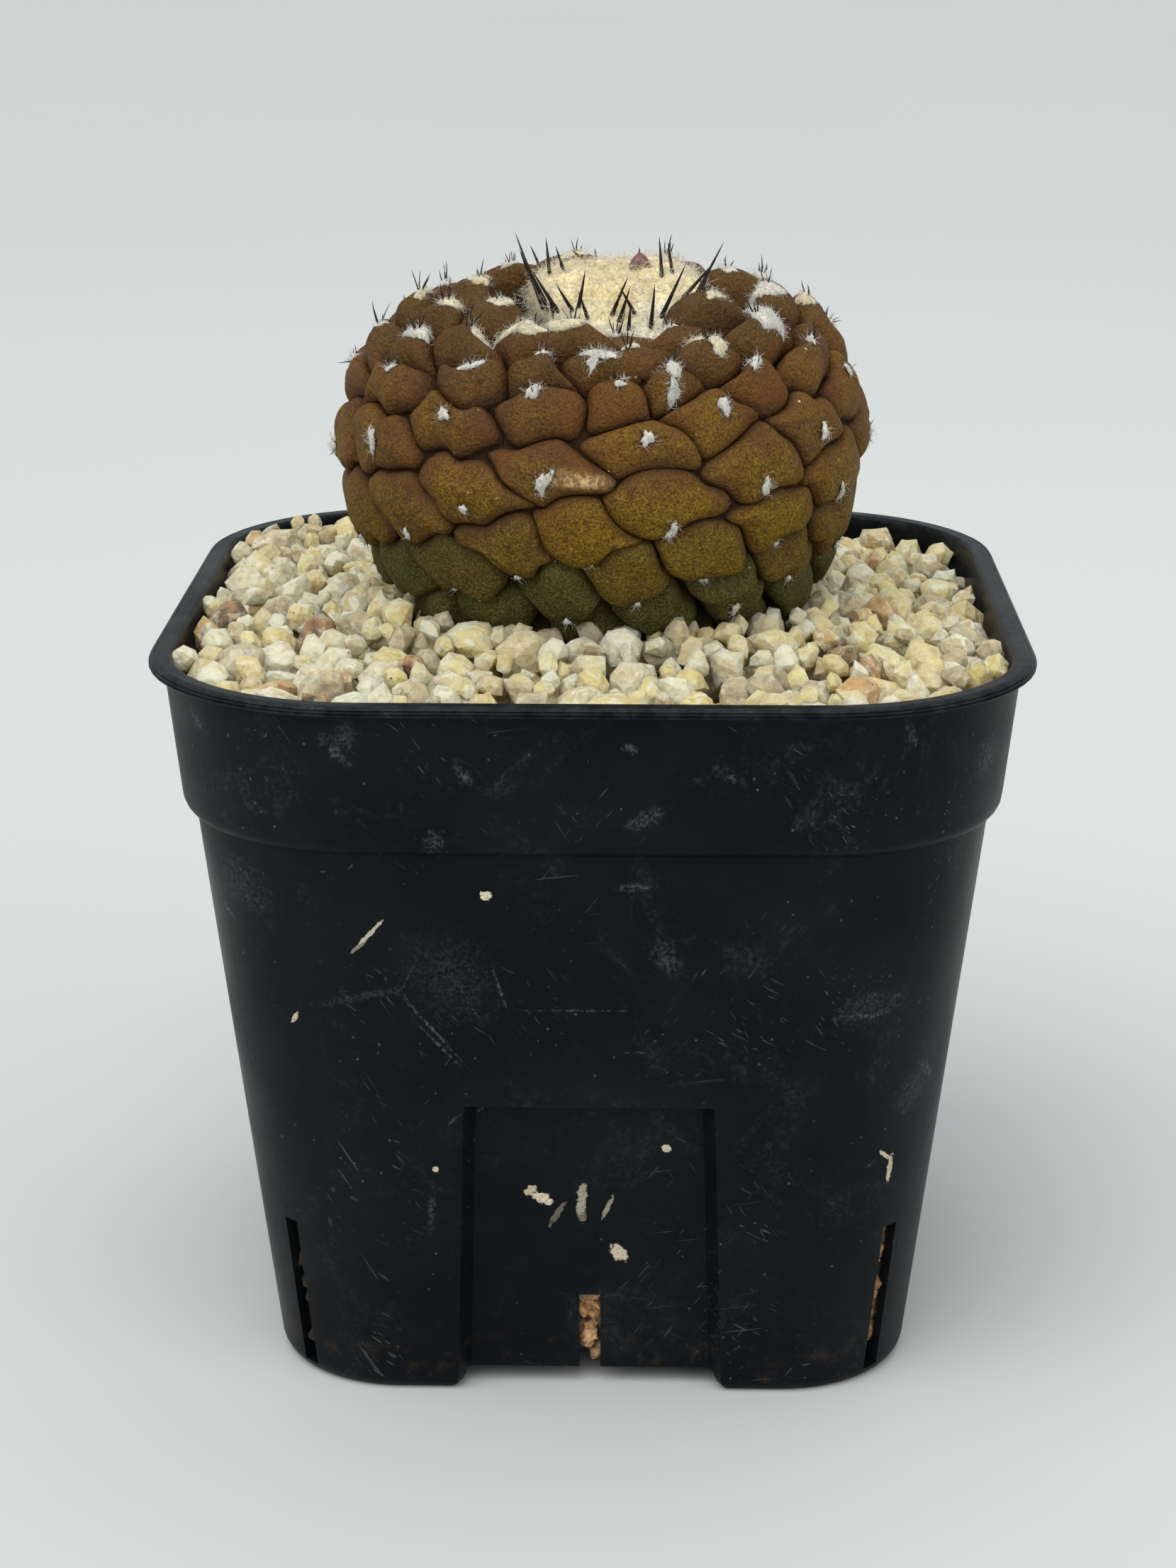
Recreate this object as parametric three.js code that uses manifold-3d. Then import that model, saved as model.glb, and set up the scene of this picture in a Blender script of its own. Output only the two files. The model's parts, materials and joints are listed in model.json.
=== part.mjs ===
// Potted Copiapoa hypogaea: one head of a small cactus in a square nursery pot.
// Millimetres, +Z up. The origin is the middle of the pot's footprint, on the surface it stands on.
// The pot's front faces -Y and +X is to the right.
import * as THREE from 'three';
import { mergeVertices } from 'three/addons/utils/BufferGeometryUtils.js';
import Module from 'manifold-3d';

const wasm = await Module();
wasm.setup();

// Pot: square, with round corners, a flange, a collar and a tapered body
const POT_HEIGHT = 78;
const FLANGE_HALF_WIDTH = 45;
const FLANGE_THICKNESS = 1.1;
const COLLAR_TOP_HALF_WIDTH = 43.5;
const COLLAR_FOOT_HALF_WIDTH = 42.1;
const COLLAR_FOOT_HEIGHT = 64;
const BODY_TOP_HALF_WIDTH = 40.7;
const BODY_TOP_HEIGHT = 62;
const BODY_FOOT_HALF_WIDTH = 33.6;
const CORNER_CENTRE_FOOT = 20;
const CORNER_CENTRE_TOP = 22.2;
// Rounded foot edge, as [height, how far it draws in]
const FOOT_ROUNDING = [[0, 1.12], [0.56, 0.32], [1.6, 0]];
const COLLAR_SHOULDER_RISE = 0.8;
const COLLAR_SHOULDER_INSET = 0.4;
// Flange edge, as [height over its underside, how far it draws in]
const FLANGE_ROUNDING = [[0.05, 0.1], [0.4, 0], [1.1, 0.2]];
const WALL = 1;
// The inside of the collar's step lies this far under the outside of it
const INNER_STEP_DROP = [0.4, 0.6];
const INNER_TOP_DROP = 1;
const FLOOR_UNDERSIDE = 2;
const FLOOR_TOP = 3.2;
const FLOOR_CHANNEL_WIDTH = 26;
const CORNER_STEPS = 5;

// Recessed panel on each side of the pot, and the drain slots
const PANEL_TOP = 34;
const PANEL_TOP_HALF_WIDTH = 12.75;
const PANEL_FOOT_HALF_WIDTH = 13.7;
const PANEL_DRAFT = 1.2;
const PANEL_DEPTH_TOP = 2.4;
const PANEL_DEPTH_FOOT = 2;
const PANEL_SLOT_WIDTH = 2.2;
const PANEL_SLOT_FOOT = 1.5;
const PANEL_SLOT_TOP = 10.8;
const PANEL_SLOT_REACH = 3.5;
const CORNER_SLOT_WIDTH = 2;
const CORNER_SLOT_FOOT = 1.2;
const CORNER_SLOT_TOP = 18.5;
// The corner slot runs from this far out on the diagonal, through the wall and into the floor's edge
const CORNER_SLOT_SPAN = [36, 53];
// Cutting blocks run past the faces that they cut by this much
const CUT_OVERRUN = 1;

// Fill
const CLEARANCE = 0.3;
const PLANT_CLEARANCE = 0.85;
const SOIL_TOP = 66;
const GRAVEL_LEVEL_FRONT = 76.4;
const GRAVEL_LEVEL_BACK = 75;
const GRAVEL_CORNER_DROP = 2.2;
const GRAVEL_BED_TOP = 71;
const GRAVEL_SKIRT_FOOT = 69;
// Room for the plant: its sides, how many outline points it skips, and how high it reaches
const PLANT_ROOM_SIDES = 26;
const PLANT_ROOM_SKIP = 8;
const PLANT_ROOM_TOP = 100;
const STONE_SPACING = 7.8;
const STONE_RADIUS = 5.4;
const STONE_SIDES = 5;
const STONE_ROUGHNESS = 1.4;
const STONE_TILT = 0.5;
const STONE_SIZE_RANGE = [0.92, 1.08];
const STONE_CORNER_RANGE = [0.88, 1.12];
const STONE_CORNER_TURN = 0.3;
const STONE_FOOT_SHARE = 1.12;
const STONE_TOP_SHARE = 0.5;
const STONE_SHIFT = 1.2;
const STONE_PLANT_GAP = 19;
const GRAVEL_HEADROOM = 6;
const CORNER_DROP_START = 0.6;

// Plant: it leans a little to the front and left, and its foot sits just right of the middle
const LEAN_DEGREES = 3.6;
const LEAN_TOWARD_DEGREES = -44;
const LEAN_PIVOT_HEIGHT = 80;
const PLANT_OFFSET_X = 1.3;
// Outline over the tips of the tubercles, as [radius, height], from the root collar to the crown
const OUTLINE = [
  [21, 73.5], [22.2, 77.5], [24.4, 82], [26.4, 86.5], [27.8, 91], [28.4, 96], [27.9, 100],
  [26.6, 104], [24.2, 107.8], [21.2, 110.4], [17.5, 111.9], [13.4, 112.4], [10, 111.8],
];
const OUTLINE_STEPS = 24;
// Tubercles along the spiral: each turns on by the same angle and sits lower than the last
const SPIRAL_TURN_DEGREES = 139.28;
const SPIRAL_START_DEGREES = -12.15;
const SPIRAL_FIRST = -51;
const SPIRAL_LAST = 57;
// Height of a tubercle's middle along the spiral, as [index, height]
const SPIRAL_HEIGHTS = [
  [-31, 108.5], [-18, 106], [-5, 101.3], [8, 95], [21, 88.9], [34, 83.9], [47, 79.2], [60, 74.8],
];
const CROWN_STEP = 0.026;
// From this index inwards the spiral takes on the crown's twist and squeeze, over so many tubercles
const CROWN_BLEND_START = 10;
const CROWN_BLEND_SPAN = 15;
// Areole above or below the middle of its tubercle, as [index, millimetres up]
const AREOLE_RISE = [
  [-45, 1.2], [-26, 2.2], [-18, 1.9], [-13, 1.1], [-5, -0.1],
  [3, -1.5], [13, -2.9], [21, -2.4], [31, -1.3], [45, -0.6],
];
// The highest point of a tubercle lies this far on the way from its middle to its areole
const APEX_SHARE = 0.55;
const GROWTH_RANGE = [0.92, 1.06];
// Irregular places of the tubercles at the back, in degrees and millimetres
const BACK_TURN_RANGE = 4;
const BACK_HEIGHT_RANGE = 1.6;
// The front of the plant is squeezed together, its upper rows most
const SQUEEZE_DEGREES = 13;
const CROWN_SQUEEZE_DEGREES = 9;
const CROWN_TWIST_DEGREES = 9.7;
// Tubercles that grew a little out of the spiral, as index: [degrees right, millimetres up]
const OUT_OF_LINE = new Map([
  [-39, [4, -0.5]], [-36, [-3, -1]], [-33, [-6, 0]], [-31, [2, -0.3]], [-28, [-9, 0.5]], [-26, [2, 0]],
  [-23, [-3, -1]], [-21, [2, 0]], [-20, [-5, -1]], [-16, [4, 0]], [-15, [-8, 0.3]], [-18, [2, -0.8]],
  [-13, [4, 0.3]], [-8, [2, 1]], [-7, [-5, 0]], [-5, [2, 0]], [-3, [2, 0]], [-2, [-3, 0.5]],
  [0, [-1, 0.2]], [8, [-3, -0.4]], [10, [3, 0]], [11, [-4, 0.6]], [13, [-2, -0.6]], [16, [-4, 0]],
  [21, [-2, 0]], [23, [4, -0.8]], [24, [-7, 0.6]], [26, [0, 0.8]], [28, [4, -1]], [29, [-5, 0.4]],
  [31, [2, 0.6]], [34, [-2, 0.4]], [39, [-1, 0.8]], [42, [-3, 0]],
]);
// Tubercle relief along the outline, as [height, relief, how flat its top is]
const RELIEF = [
  [72, 3.2, 2], [80, 3.4, 2.2], [86, 2.5, 2.6], [92, 1.6, 3],
  [99, 1.6, 3], [104, 2.4, 2.6], [108, 3.3, 2.2], [113, 4.2, 2],
];
// Tubercles above the waist point up a little, and those below it droop
const WAIST = [94, 97];
const WAIST_FADE = 9;
const LEAN_UP = 0.3;
const LEAN_DOWN = 0.5;
const CROWN_EDGE_FADE = 0.3;
// Tubercles are broad: a step up counts for this many steps across where two of them meet
const CELL_BREADTH = 1.9;
const CELL_EDGE_STEP = 4.2;
const CELL_RINGS = [0.5, 0.82];
const CELL_WELD = 0.9;
// No cell reaches further than this from its middle, in radians and in measure along the outline
const CELL_REACH = 1.2;
const NEIGHBOUR_REACH = [1.6, 1.2];

// Crown hollow, the wool in it and the root under the body
const CROWN_HOLLOW = [[9, 107.7], [4.6, 107]];
const CROWN_FLOOR = 106.8;
const ROOT = [[17.5, 69.6], [10.5, 67.2], [6.2, 62], [6.6, 54], [5, 42], [2.6, 30]];
const ROOT_TIP = 24;
const WOOL_OUTLINE = [[4.4, 107.4], [8.6, 108.1], [9.3, 109.6], [9.2, 111.4], [7.6, 113], [4.2, 113.8]];
const WOOL_SIDES = 18;
const WOOL_TOP = 114.1;
const WOOL_RUFFLE = 0.35;
const WOOL_PEAK_SHARE = 0.75;
const CROWN_SPINES = 26;
const CROWN_SPINE_RADIUS = 0.36;
const CROWN_SPINE_LENGTH = [4.2, 6.4];
const CROWN_SPINE_LEAN_DEGREES = [6, 30];
const CROWN_SPINE_RING = [5.2, 7.6];
const CROWN_SPINE_FOOT = 111.4;
const CROWN_SPINE_SPACING = 0.6;
const CROWN_SPINE_TURN = 1.2;
const SMALL_SPINE_RADIUS = 0.34;
const SMALL_SPINE_LENGTH = [1.5, 2.6];
const SMALL_SPINES_EACH = 2;
const SMALL_SPINE_LAST = -6;
const SMALL_SPINE_ROOT_DEPTH = 0.5;
const SMALL_SPINE_SPLAY = 0.9;
const SMALL_SPINE_TURN = 1.4;
const TUFT_RADIUS = 0.9;
const TUFT_SINK = 0.15;
const TUFT_LAST = 34;

const UP = new THREE.Vector3(0, 0, 1);
const radians = THREE.MathUtils.degToRad;

// Seeded draw, from 0 to 1
function makeDraw(seed) {
  let state = seed;
  return () => {
    state = (state * 1103515245 + 12345) % 2147483648;
    return state / 2147483648;
  };
}

function between(range, share) {
  return range[0] + (range[1] - range[0]) * share;
}

function smoothStep(value) {
  const t = Math.min(Math.max(value, 0), 1);
  return t * t * (3 - 2 * t);
}

// Value at a place on a table of [place, value, ...] rows, in straight lines
function along(rows, place, column = 1) {
  if (place <= rows[0][0]) return rows[0][column];
  for (let i = 1; i < rows.length; i += 1) {
    if (place <= rows[i][0]) {
      const share = (place - rows[i - 1][0]) / (rows[i][0] - rows[i - 1][0]);
      return rows[i - 1][column] + (rows[i][column] - rows[i - 1][column]) * share;
    }
  }
  return rows[rows.length - 1][column];
}

// Solids

function toSolid(geometry) {
  const bare = geometry.clone();
  bare.deleteAttribute('normal');
  bare.deleteAttribute('uv');
  const merged = mergeVertices(bare, 1e-4);
  const mesh = new wasm.Mesh({
    numProp: 3,
    vertProperties: new Float32Array(merged.attributes.position.array),
    triVerts: new Uint32Array(merged.index.array),
  });
  return new wasm.Manifold(mesh);
}

function toGeometry(solid) {
  const mesh = solid.getMesh();
  const geometry = new THREE.BufferGeometry();
  geometry.setAttribute('position', new THREE.BufferAttribute(new Float32Array(mesh.vertProperties), 3));
  geometry.setIndex(new THREE.BufferAttribute(new Uint32Array(mesh.triVerts), 1));
  geometry.computeVertexNormals();
  return geometry;
}

function fromTriangles(points, triangles) {
  const geometry = new THREE.BufferGeometry();
  const numbers = points.flatMap((point) => point.toArray());
  geometry.setAttribute('position', new THREE.Float32BufferAttribute(numbers, 3));
  geometry.setIndex(triangles);
  return geometry;
}

// Closed solid through rings of points, lowest ring first, each anticlockwise from above
function loft(rings) {
  const count = rings[0].length;
  const points = rings.flat();
  const triangles = [];
  for (let level = 0; level < rings.length - 1; level += 1) {
    for (let i = 0; i < count; i += 1) {
      const a = level * count + i;
      const b = level * count + ((i + 1) % count);
      triangles.push(a, b, b + count, a, b + count, a + count);
    }
  }
  const last = (rings.length - 1) * count;
  for (let i = 1; i < count - 1; i += 1) {
    triangles.push(0, i + 1, i);
    triangles.push(last, last + i, last + i + 1);
  }
  return fromTriangles(points, triangles);
}

function box(low, high) {
  const geometry = new THREE.BoxGeometry(high.x - low.x, high.y - low.y, high.z - low.z);
  geometry.translate((low.x + high.x) / 2, (low.y + high.y) / 2, (low.z + high.z) / 2);
  return geometry;
}

function joinAll(solids) {
  let level = solids;
  while (level.length > 1) {
    const next = [];
    for (let i = 0; i < level.length; i += 2) {
      next.push(i + 1 < level.length ? level[i].add(level[i + 1]) : level[i]);
    }
    level = next;
  }
  return level[0];
}

// The body of a solid without loose scraps or sealed hollows
function wholePiece(solid) {
  const pieces = solid.decompose();
  return pieces.reduce((largest, piece) => (piece.volume() > largest.volume() ? piece : largest));
}

// Three-sided needle from its root to its tip
function needle(root, tip, radius) {
  const axis = tip.clone().sub(root).normalize();
  const reference = Math.abs(axis.z) > 0.9 ? new THREE.Vector3(1, 0, 0) : UP;
  const side = new THREE.Vector3().crossVectors(axis, reference).setLength(radius);
  const points = [tip];
  for (let i = 0; i < 3; i += 1) {
    points.push(root.clone().add(side.clone().applyAxisAngle(axis, (i * 2 * Math.PI) / 3)));
  }
  return fromTriangles(points, [0, 1, 2, 0, 2, 3, 0, 3, 1, 1, 3, 2]);
}

// Pot

function cornerCentre(height) {
  return between([CORNER_CENTRE_FOOT, CORNER_CENTRE_TOP], Math.min(height / BODY_TOP_HEIGHT, 1));
}

function bodyHalfWidth(height) {
  return between([BODY_FOOT_HALF_WIDTH, BODY_TOP_HALF_WIDTH], height / BODY_TOP_HEIGHT);
}

function collarHalfWidth(height) {
  const share = (height - COLLAR_FOOT_HEIGHT) / (POT_HEIGHT - FLANGE_THICKNESS - COLLAR_FOOT_HEIGHT);
  return between([COLLAR_FOOT_HALF_WIDTH, COLLAR_TOP_HALF_WIDTH], share);
}

function roundedSquare(halfWidth, height) {
  const centre = cornerCentre(height);
  const radius = halfWidth - centre;
  const ring = [];
  for (let corner = 0; corner < 4; corner += 1) {
    const middle = Math.PI / 4 + (corner * Math.PI) / 2;
    const x = Math.sign(Math.cos(middle)) * centre;
    const y = Math.sign(Math.sin(middle)) * centre;
    for (let i = 0; i <= CORNER_STEPS; i += 1) {
      const angle = middle - Math.PI / 4 + (i / CORNER_STEPS) * (Math.PI / 2);
      ring.push(new THREE.Vector3(x + radius * Math.cos(angle), y + radius * Math.sin(angle), height));
    }
  }
  return ring;
}

function potOutside() {
  const flangeFoot = POT_HEIGHT - FLANGE_THICKNESS;
  return loft([
    ...FOOT_ROUNDING.map(([height, inset]) => roundedSquare(bodyHalfWidth(height) - inset, height)),
    roundedSquare(BODY_TOP_HALF_WIDTH, BODY_TOP_HEIGHT),
    roundedSquare(COLLAR_FOOT_HALF_WIDTH - COLLAR_SHOULDER_INSET, BODY_TOP_HEIGHT + COLLAR_SHOULDER_RISE),
    roundedSquare(COLLAR_FOOT_HALF_WIDTH, COLLAR_FOOT_HEIGHT),
    roundedSquare(COLLAR_TOP_HALF_WIDTH, flangeFoot),
    ...FLANGE_ROUNDING.map(([rise, inset]) => roundedSquare(FLANGE_HALF_WIDTH - inset, flangeFoot + rise)),
  ]);
}

// Wedge-shaped block that a side panel takes out of the body, grown by the wall and the clearance
function panelBlock(grow) {
  const outside = FLANGE_HALF_WIDTH + CUT_OVERRUN;
  const depthAt = (height, depth) => bodyHalfWidth(height) - depth - grow;
  const section = (height, halfWidth, depth) => {
    const inner = depthAt(height, depth);
    return [
      new THREE.Vector3(-halfWidth - grow, -outside, height),
      new THREE.Vector3(halfWidth + grow, -outside, height),
      new THREE.Vector3(halfWidth + grow, -inner - depth, height),
      new THREE.Vector3(halfWidth + grow - PANEL_DRAFT, -inner, height),
      new THREE.Vector3(-halfWidth - grow + PANEL_DRAFT, -inner, height),
      new THREE.Vector3(-halfWidth - grow, -inner - depth, height),
    ];
  };
  return loft([
    section(-CUT_OVERRUN, PANEL_FOOT_HALF_WIDTH, PANEL_DEPTH_FOOT),
    section(PANEL_TOP + grow, PANEL_TOP_HALF_WIDTH, PANEL_DEPTH_TOP),
  ]);
}

function eachSide(geometry) {
  return [0, 1, 2, 3].map((turn) => toSolid(geometry.clone().rotateZ((turn * Math.PI) / 2)));
}

// Room inside the pot, drawn in by a clearance on every side, from one height to another
function potRoom(inset, low, high) {
  const innerTop = POT_HEIGHT - INNER_TOP_DROP;
  const step = [BODY_TOP_HEIGHT - INNER_STEP_DROP[0], COLLAR_FOOT_HEIGHT - INNER_STEP_DROP[1]];
  const heights = [low, ...step, innerTop, high];
  const rings = [];
  for (const height of heights.filter((value) => value >= low && value <= high)) {
    const inCollar = height >= BODY_TOP_HEIGHT;
    const outer = inCollar ? collarHalfWidth(Math.min(height, innerTop)) : bodyHalfWidth(height);
    rings.push(roundedSquare(outer - WALL - inset, height));
  }
  let room = toSolid(loft(rings));
  for (const block of eachSide(panelBlock(WALL + inset))) room = room.subtract(block);
  return room;
}

function makePot() {
  let pot = toSolid(potOutside());
  for (const block of eachSide(panelBlock(0))) pot = pot.subtract(block);
  const half = FLOOR_CHANNEL_WIDTH / 2;
  const reach = FLANGE_HALF_WIDTH;
  const channel = box(
    new THREE.Vector3(-half, -reach, -CUT_OVERRUN),
    new THREE.Vector3(half, reach, FLOOR_UNDERSIDE),
  );
  pot = pot.subtract(toSolid(channel));
  pot = pot.subtract(toSolid(channel.clone().rotateZ(Math.PI / 2)));
  pot = pot.subtract(potRoom(0, FLOOR_TOP, POT_HEIGHT + CUT_OVERRUN));
  const slotInner = bodyHalfWidth(0) - PANEL_DEPTH_FOOT - WALL - PANEL_SLOT_REACH;
  const panelSlot = box(
    new THREE.Vector3(-PANEL_SLOT_WIDTH / 2, -reach, PANEL_SLOT_FOOT),
    new THREE.Vector3(PANEL_SLOT_WIDTH / 2, -slotInner, PANEL_SLOT_TOP),
  );
  const cornerSlot = box(
    new THREE.Vector3(-CORNER_SLOT_WIDTH / 2, -CORNER_SLOT_SPAN[1], CORNER_SLOT_FOOT),
    new THREE.Vector3(CORNER_SLOT_WIDTH / 2, -CORNER_SLOT_SPAN[0], CORNER_SLOT_TOP),
  );
  cornerSlot.rotateZ(Math.PI / 4);
  for (const slot of eachSide(panelSlot)) pot = pot.subtract(slot);
  for (const slot of eachSide(cornerSlot)) pot = pot.subtract(slot);
  return pot;
}

// Plant outline, smoothed through its points, with a measure along it in which
// a step to the side and a step up are drawn to the same scale

function smoothOutline() {
  const curve = new THREE.CatmullRomCurve3(OUTLINE.map(([r, z]) => new THREE.Vector3(r, 0, z)));
  const points = curve.getPoints((OUTLINE.length - 1) * OUTLINE_STEPS);
  const rows = [];
  let measure = 0;
  points.forEach((point, i) => {
    if (i > 0) measure += point.distanceTo(points[i - 1]) / ((point.x + points[i - 1].x) / 2);
    const before = points[Math.max(i - 1, 0)];
    const after = points[Math.min(i + 1, points.length - 1)];
    const tangent = after.clone().sub(before).normalize();
    rows.push([measure, point.x, point.z, tangent.x, tangent.z]);
  });
  return rows;
}

const outline = smoothOutline();
const outlineEnd = outline[outline.length - 1][0];

function leanOver(point) {
  const toward = radians(LEAN_TOWARD_DEGREES);
  const axis = new THREE.Vector3().crossVectors(UP, around(toward, 1, 0));
  const moved = point.clone();
  moved.z -= LEAN_PIVOT_HEIGHT;
  moved.applyAxisAngle(axis, radians(LEAN_DEGREES));
  moved.z += LEAN_PIVOT_HEIGHT;
  moved.x += PLANT_OFFSET_X;
  return moved;
}

function around(angle, radius, height) {
  return new THREE.Vector3(radius * Math.sin(angle), -radius * Math.cos(angle), height);
}

// Point over the outline, raised by a share of the relief there and drawn up or down with it
function onPlant(angle, measure, share, growth = 1) {
  const radius = along(outline, measure, 1);
  const height = along(outline, measure, 2);
  const tangent = new THREE.Vector2(along(outline, measure, 3), along(outline, measure, 4)).normalize();
  const relief = along(RELIEF, height);
  const drawn = LEAN_UP * smoothStep((height - WAIST[1]) / WAIST_FADE)
    - LEAN_DOWN * smoothStep((WAIST[0] - height) / WAIST_FADE);
  const raise = relief * (share * growth - 1);
  const slide = relief * share * drawn * smoothStep((outlineEnd - measure) / CROWN_EDGE_FADE);
  return around(
    angle,
    radius + tangent.y * raise + tangent.x * slide,
    height - tangent.x * raise + tangent.y * slide,
  );
}

function measureAtHeight(height) {
  const rising = outline.filter((row) => row[4] > 0);
  return along(rising.map((row) => [row[2], row[0]]), height);
}

// Areole and centre of each tubercle, as [angle, measure]
function tubercleSites() {
  const draw = makeDraw(7);
  const sites = [];
  for (let index = SPIRAL_FIRST; index <= SPIRAL_LAST; index += 1) {
    const crown = smoothStep((-index - CROWN_BLEND_START) / CROWN_BLEND_SPAN);
    const raw = radians(SPIRAL_START_DEGREES + SPIRAL_TURN_DEGREES * index + CROWN_TWIST_DEGREES * crown);
    const squeeze = radians(SQUEEZE_DEGREES + CROWN_SQUEEZE_DEGREES * crown);
    let angle = raw - squeeze * Math.sin(raw);
    let measure = measureAtHeight(along(SPIRAL_HEIGHTS, Math.max(index, SPIRAL_HEIGHTS[0][0])));
    measure += Math.max(SPIRAL_HEIGHTS[0][0] - index, 0) * CROWN_STEP;
    const radius = along(outline, measure, 1);
    const shift = OUT_OF_LINE.get(index) ?? [0, 0];
    angle += radians(shift[0]);
    measure += shift[1] / radius;
    const hidden = Math.cos(angle) < 0 ? 1 : 0;
    angle += radians(BACK_TURN_RANGE) * hidden * (draw() - 0.5);
    measure += (BACK_HEIGHT_RANGE / radius) * hidden * (draw() - 0.5);
    const turn = Math.atan2(Math.sin(angle), Math.cos(angle));
    const areole = measure + along(AREOLE_RISE, index) / radius;
    sites.push({ index, angle: turn, areole, centre: measure, growth: between(GROWTH_RANGE, draw()) });
  }
  return sites;
}

// Part of a polygon on the near side of the line halfway between two places.
// Heights count by the breadth.
function clipHalfway(polygon, own, other) {
  const middle = [(own[0] + other[0]) / 2, (own[1] + other[1]) / 2];
  const away = [other[0] - own[0], (other[1] - own[1]) * CELL_BREADTH ** 2];
  const side = (p) => (p[0] - middle[0]) * away[0] + (p[1] - middle[1]) * away[1];
  const kept = [];
  polygon.forEach((point, i) => {
    const next = polygon[(i + 1) % polygon.length];
    const here = side(point);
    const there = side(next);
    if (here <= 0) kept.push(point);
    if ((here < 0 && there > 0) || (here > 0 && there < 0)) {
      const t = here / (here - there);
      kept.push([point[0] + t * (next[0] - point[0]), point[1] + t * (next[1] - point[1])]);
    }
  });
  return kept;
}

// Ground that each tubercle covers: all that lies nearer to its centre than to any other.
// Heights count by the breadth here too.
// Corners that nearly meet become one, and a corner on the rim keeps its place.
function tubercleCells(sites) {
  const turn = 2 * Math.PI;
  const onRim = (point) => Math.min(Math.abs(point[1]), Math.abs(outlineEnd - point[1])) < 1e-9;
  const polygons = sites.map((site) => {
    const own = [site.angle, site.centre];
    const [left, right] = [own[0] - CELL_REACH, own[0] + CELL_REACH];
    let polygon = [[left, 0], [right, 0], [right, outlineEnd], [left, outlineEnd]];
    for (const other of sites) {
      for (const lap of [-turn, 0, turn]) {
        const place = [other.angle + lap, other.centre];
        const near = place.every((value, axis) => Math.abs(value - own[axis]) < NEIGHBOUR_REACH[axis]);
        if (near && (other !== site || lap !== 0)) polygon = clipHalfway(polygon, own, place);
      }
    }
    return polygon;
  });
  const corners = [];
  for (const point of polygons.flat().sort((a, b) => onRim(b) - onRim(a))) {
    const place = onPlant(point[0], point[1], 0);
    const known = corners.some((corner) => corner.place.distanceTo(place) < CELL_WELD);
    if (!known) corners.push({ place, point });
  }
  const nearestCorner = (point) => {
    const place = onPlant(point[0], point[1], 0);
    let best = corners[0];
    for (const corner of corners) {
      if (corner.place.distanceTo(place) < best.place.distanceTo(place)) best = corner;
    }
    const laps = Math.round((point[0] - best.point[0]) / turn);
    return [best.point[0] + laps * turn, best.point[1]];
  };
  return polygons.map((polygon) => {
    const shared = polygon.map(nearestCorner);
    return shared.filter((p, i) => {
      const next = shared[(i + 1) % shared.length];
      return Math.abs(p[0] - next[0]) > 1e-9 || Math.abs(p[1] - next[1]) > 1e-9;
    });
  });
}

// Border of a cell, each edge cut into steps that both of its cells share
function cellBorder(polygon) {
  const border = [];
  polygon.forEach((point, i) => {
    const next = polygon[(i + 1) % polygon.length];
    const length = onPlant(point[0], point[1], 0).distanceTo(onPlant(next[0], next[1], 0));
    const steps = Math.max(1, Math.round(length / CELL_EDGE_STEP));
    for (let k = 0; k < steps; k += 1) {
      border.push([between([point[0], next[0]], k / steps), between([point[1], next[1]], k / steps)]);
    }
  });
  return border;
}

function apexOf(site) {
  return [site.angle, site.centre + APEX_SHARE * (site.areole - site.centre)];
}

// Height share of a tubercle from its apex, 0, to its border, 1
function swell(share, flatness) {
  return Math.sqrt(Math.max(1 - share ** flatness, 0));
}

// Skin of the tubercles, with the open borders at the crown and under the gravel kept aside
function tubercleSkin(sites, cells) {
  const points = [];
  const triangles = [];
  const rims = { foot: [], crown: [] };
  sites.forEach((site, number) => {
    if (cells[number].length < 3) return;
    const border = cellBorder(cells[number]);
    const apex = apexOf(site);
    const flatness = along(RELIEF, along(outline, apex[1], 2), 2);
    const first = points.length;
    points.push(onPlant(apex[0], apex[1], 1, site.growth));
    for (const ring of [...CELL_RINGS, 1]) {
      for (const place of border) {
        const angle = apex[0] + ring * (place[0] - apex[0]);
        const measure = apex[1] + ring * (place[1] - apex[1]);
        points.push(onPlant(angle, measure, swell(ring, flatness), site.growth));
      }
    }
    const count = border.length;
    for (let i = 0; i < count; i += 1) {
      const next = (i + 1) % count;
      triangles.push(first, first + 1 + i, first + 1 + next);
      for (let ring = 0; ring < CELL_RINGS.length; ring += 1) {
        const a = first + 1 + ring * count + i;
        const b = first + 1 + ring * count + next;
        triangles.push(a, a + count, b + count, a, b + count, b);
      }
      for (const [name, level] of [['foot', 0], ['crown', outlineEnd]]) {
        if (Math.abs(border[i][1] - level) < 1e-9) rims[name].push(border[i][0]);
      }
    }
  });
  return { points, triangles, rims };
}

// Angles of a rim in order, each once
function orderedAngles(angles) {
  const turn = 2 * Math.PI;
  const wrapped = angles.map((angle) => ((angle % turn) + turn) % turn).sort((a, b) => a - b);
  return wrapped.filter((angle, i) => {
    const before = i === 0 ? wrapped[wrapped.length - 1] - turn : wrapped[i - 1];
    return angle - before > 1e-6;
  });
}

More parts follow.
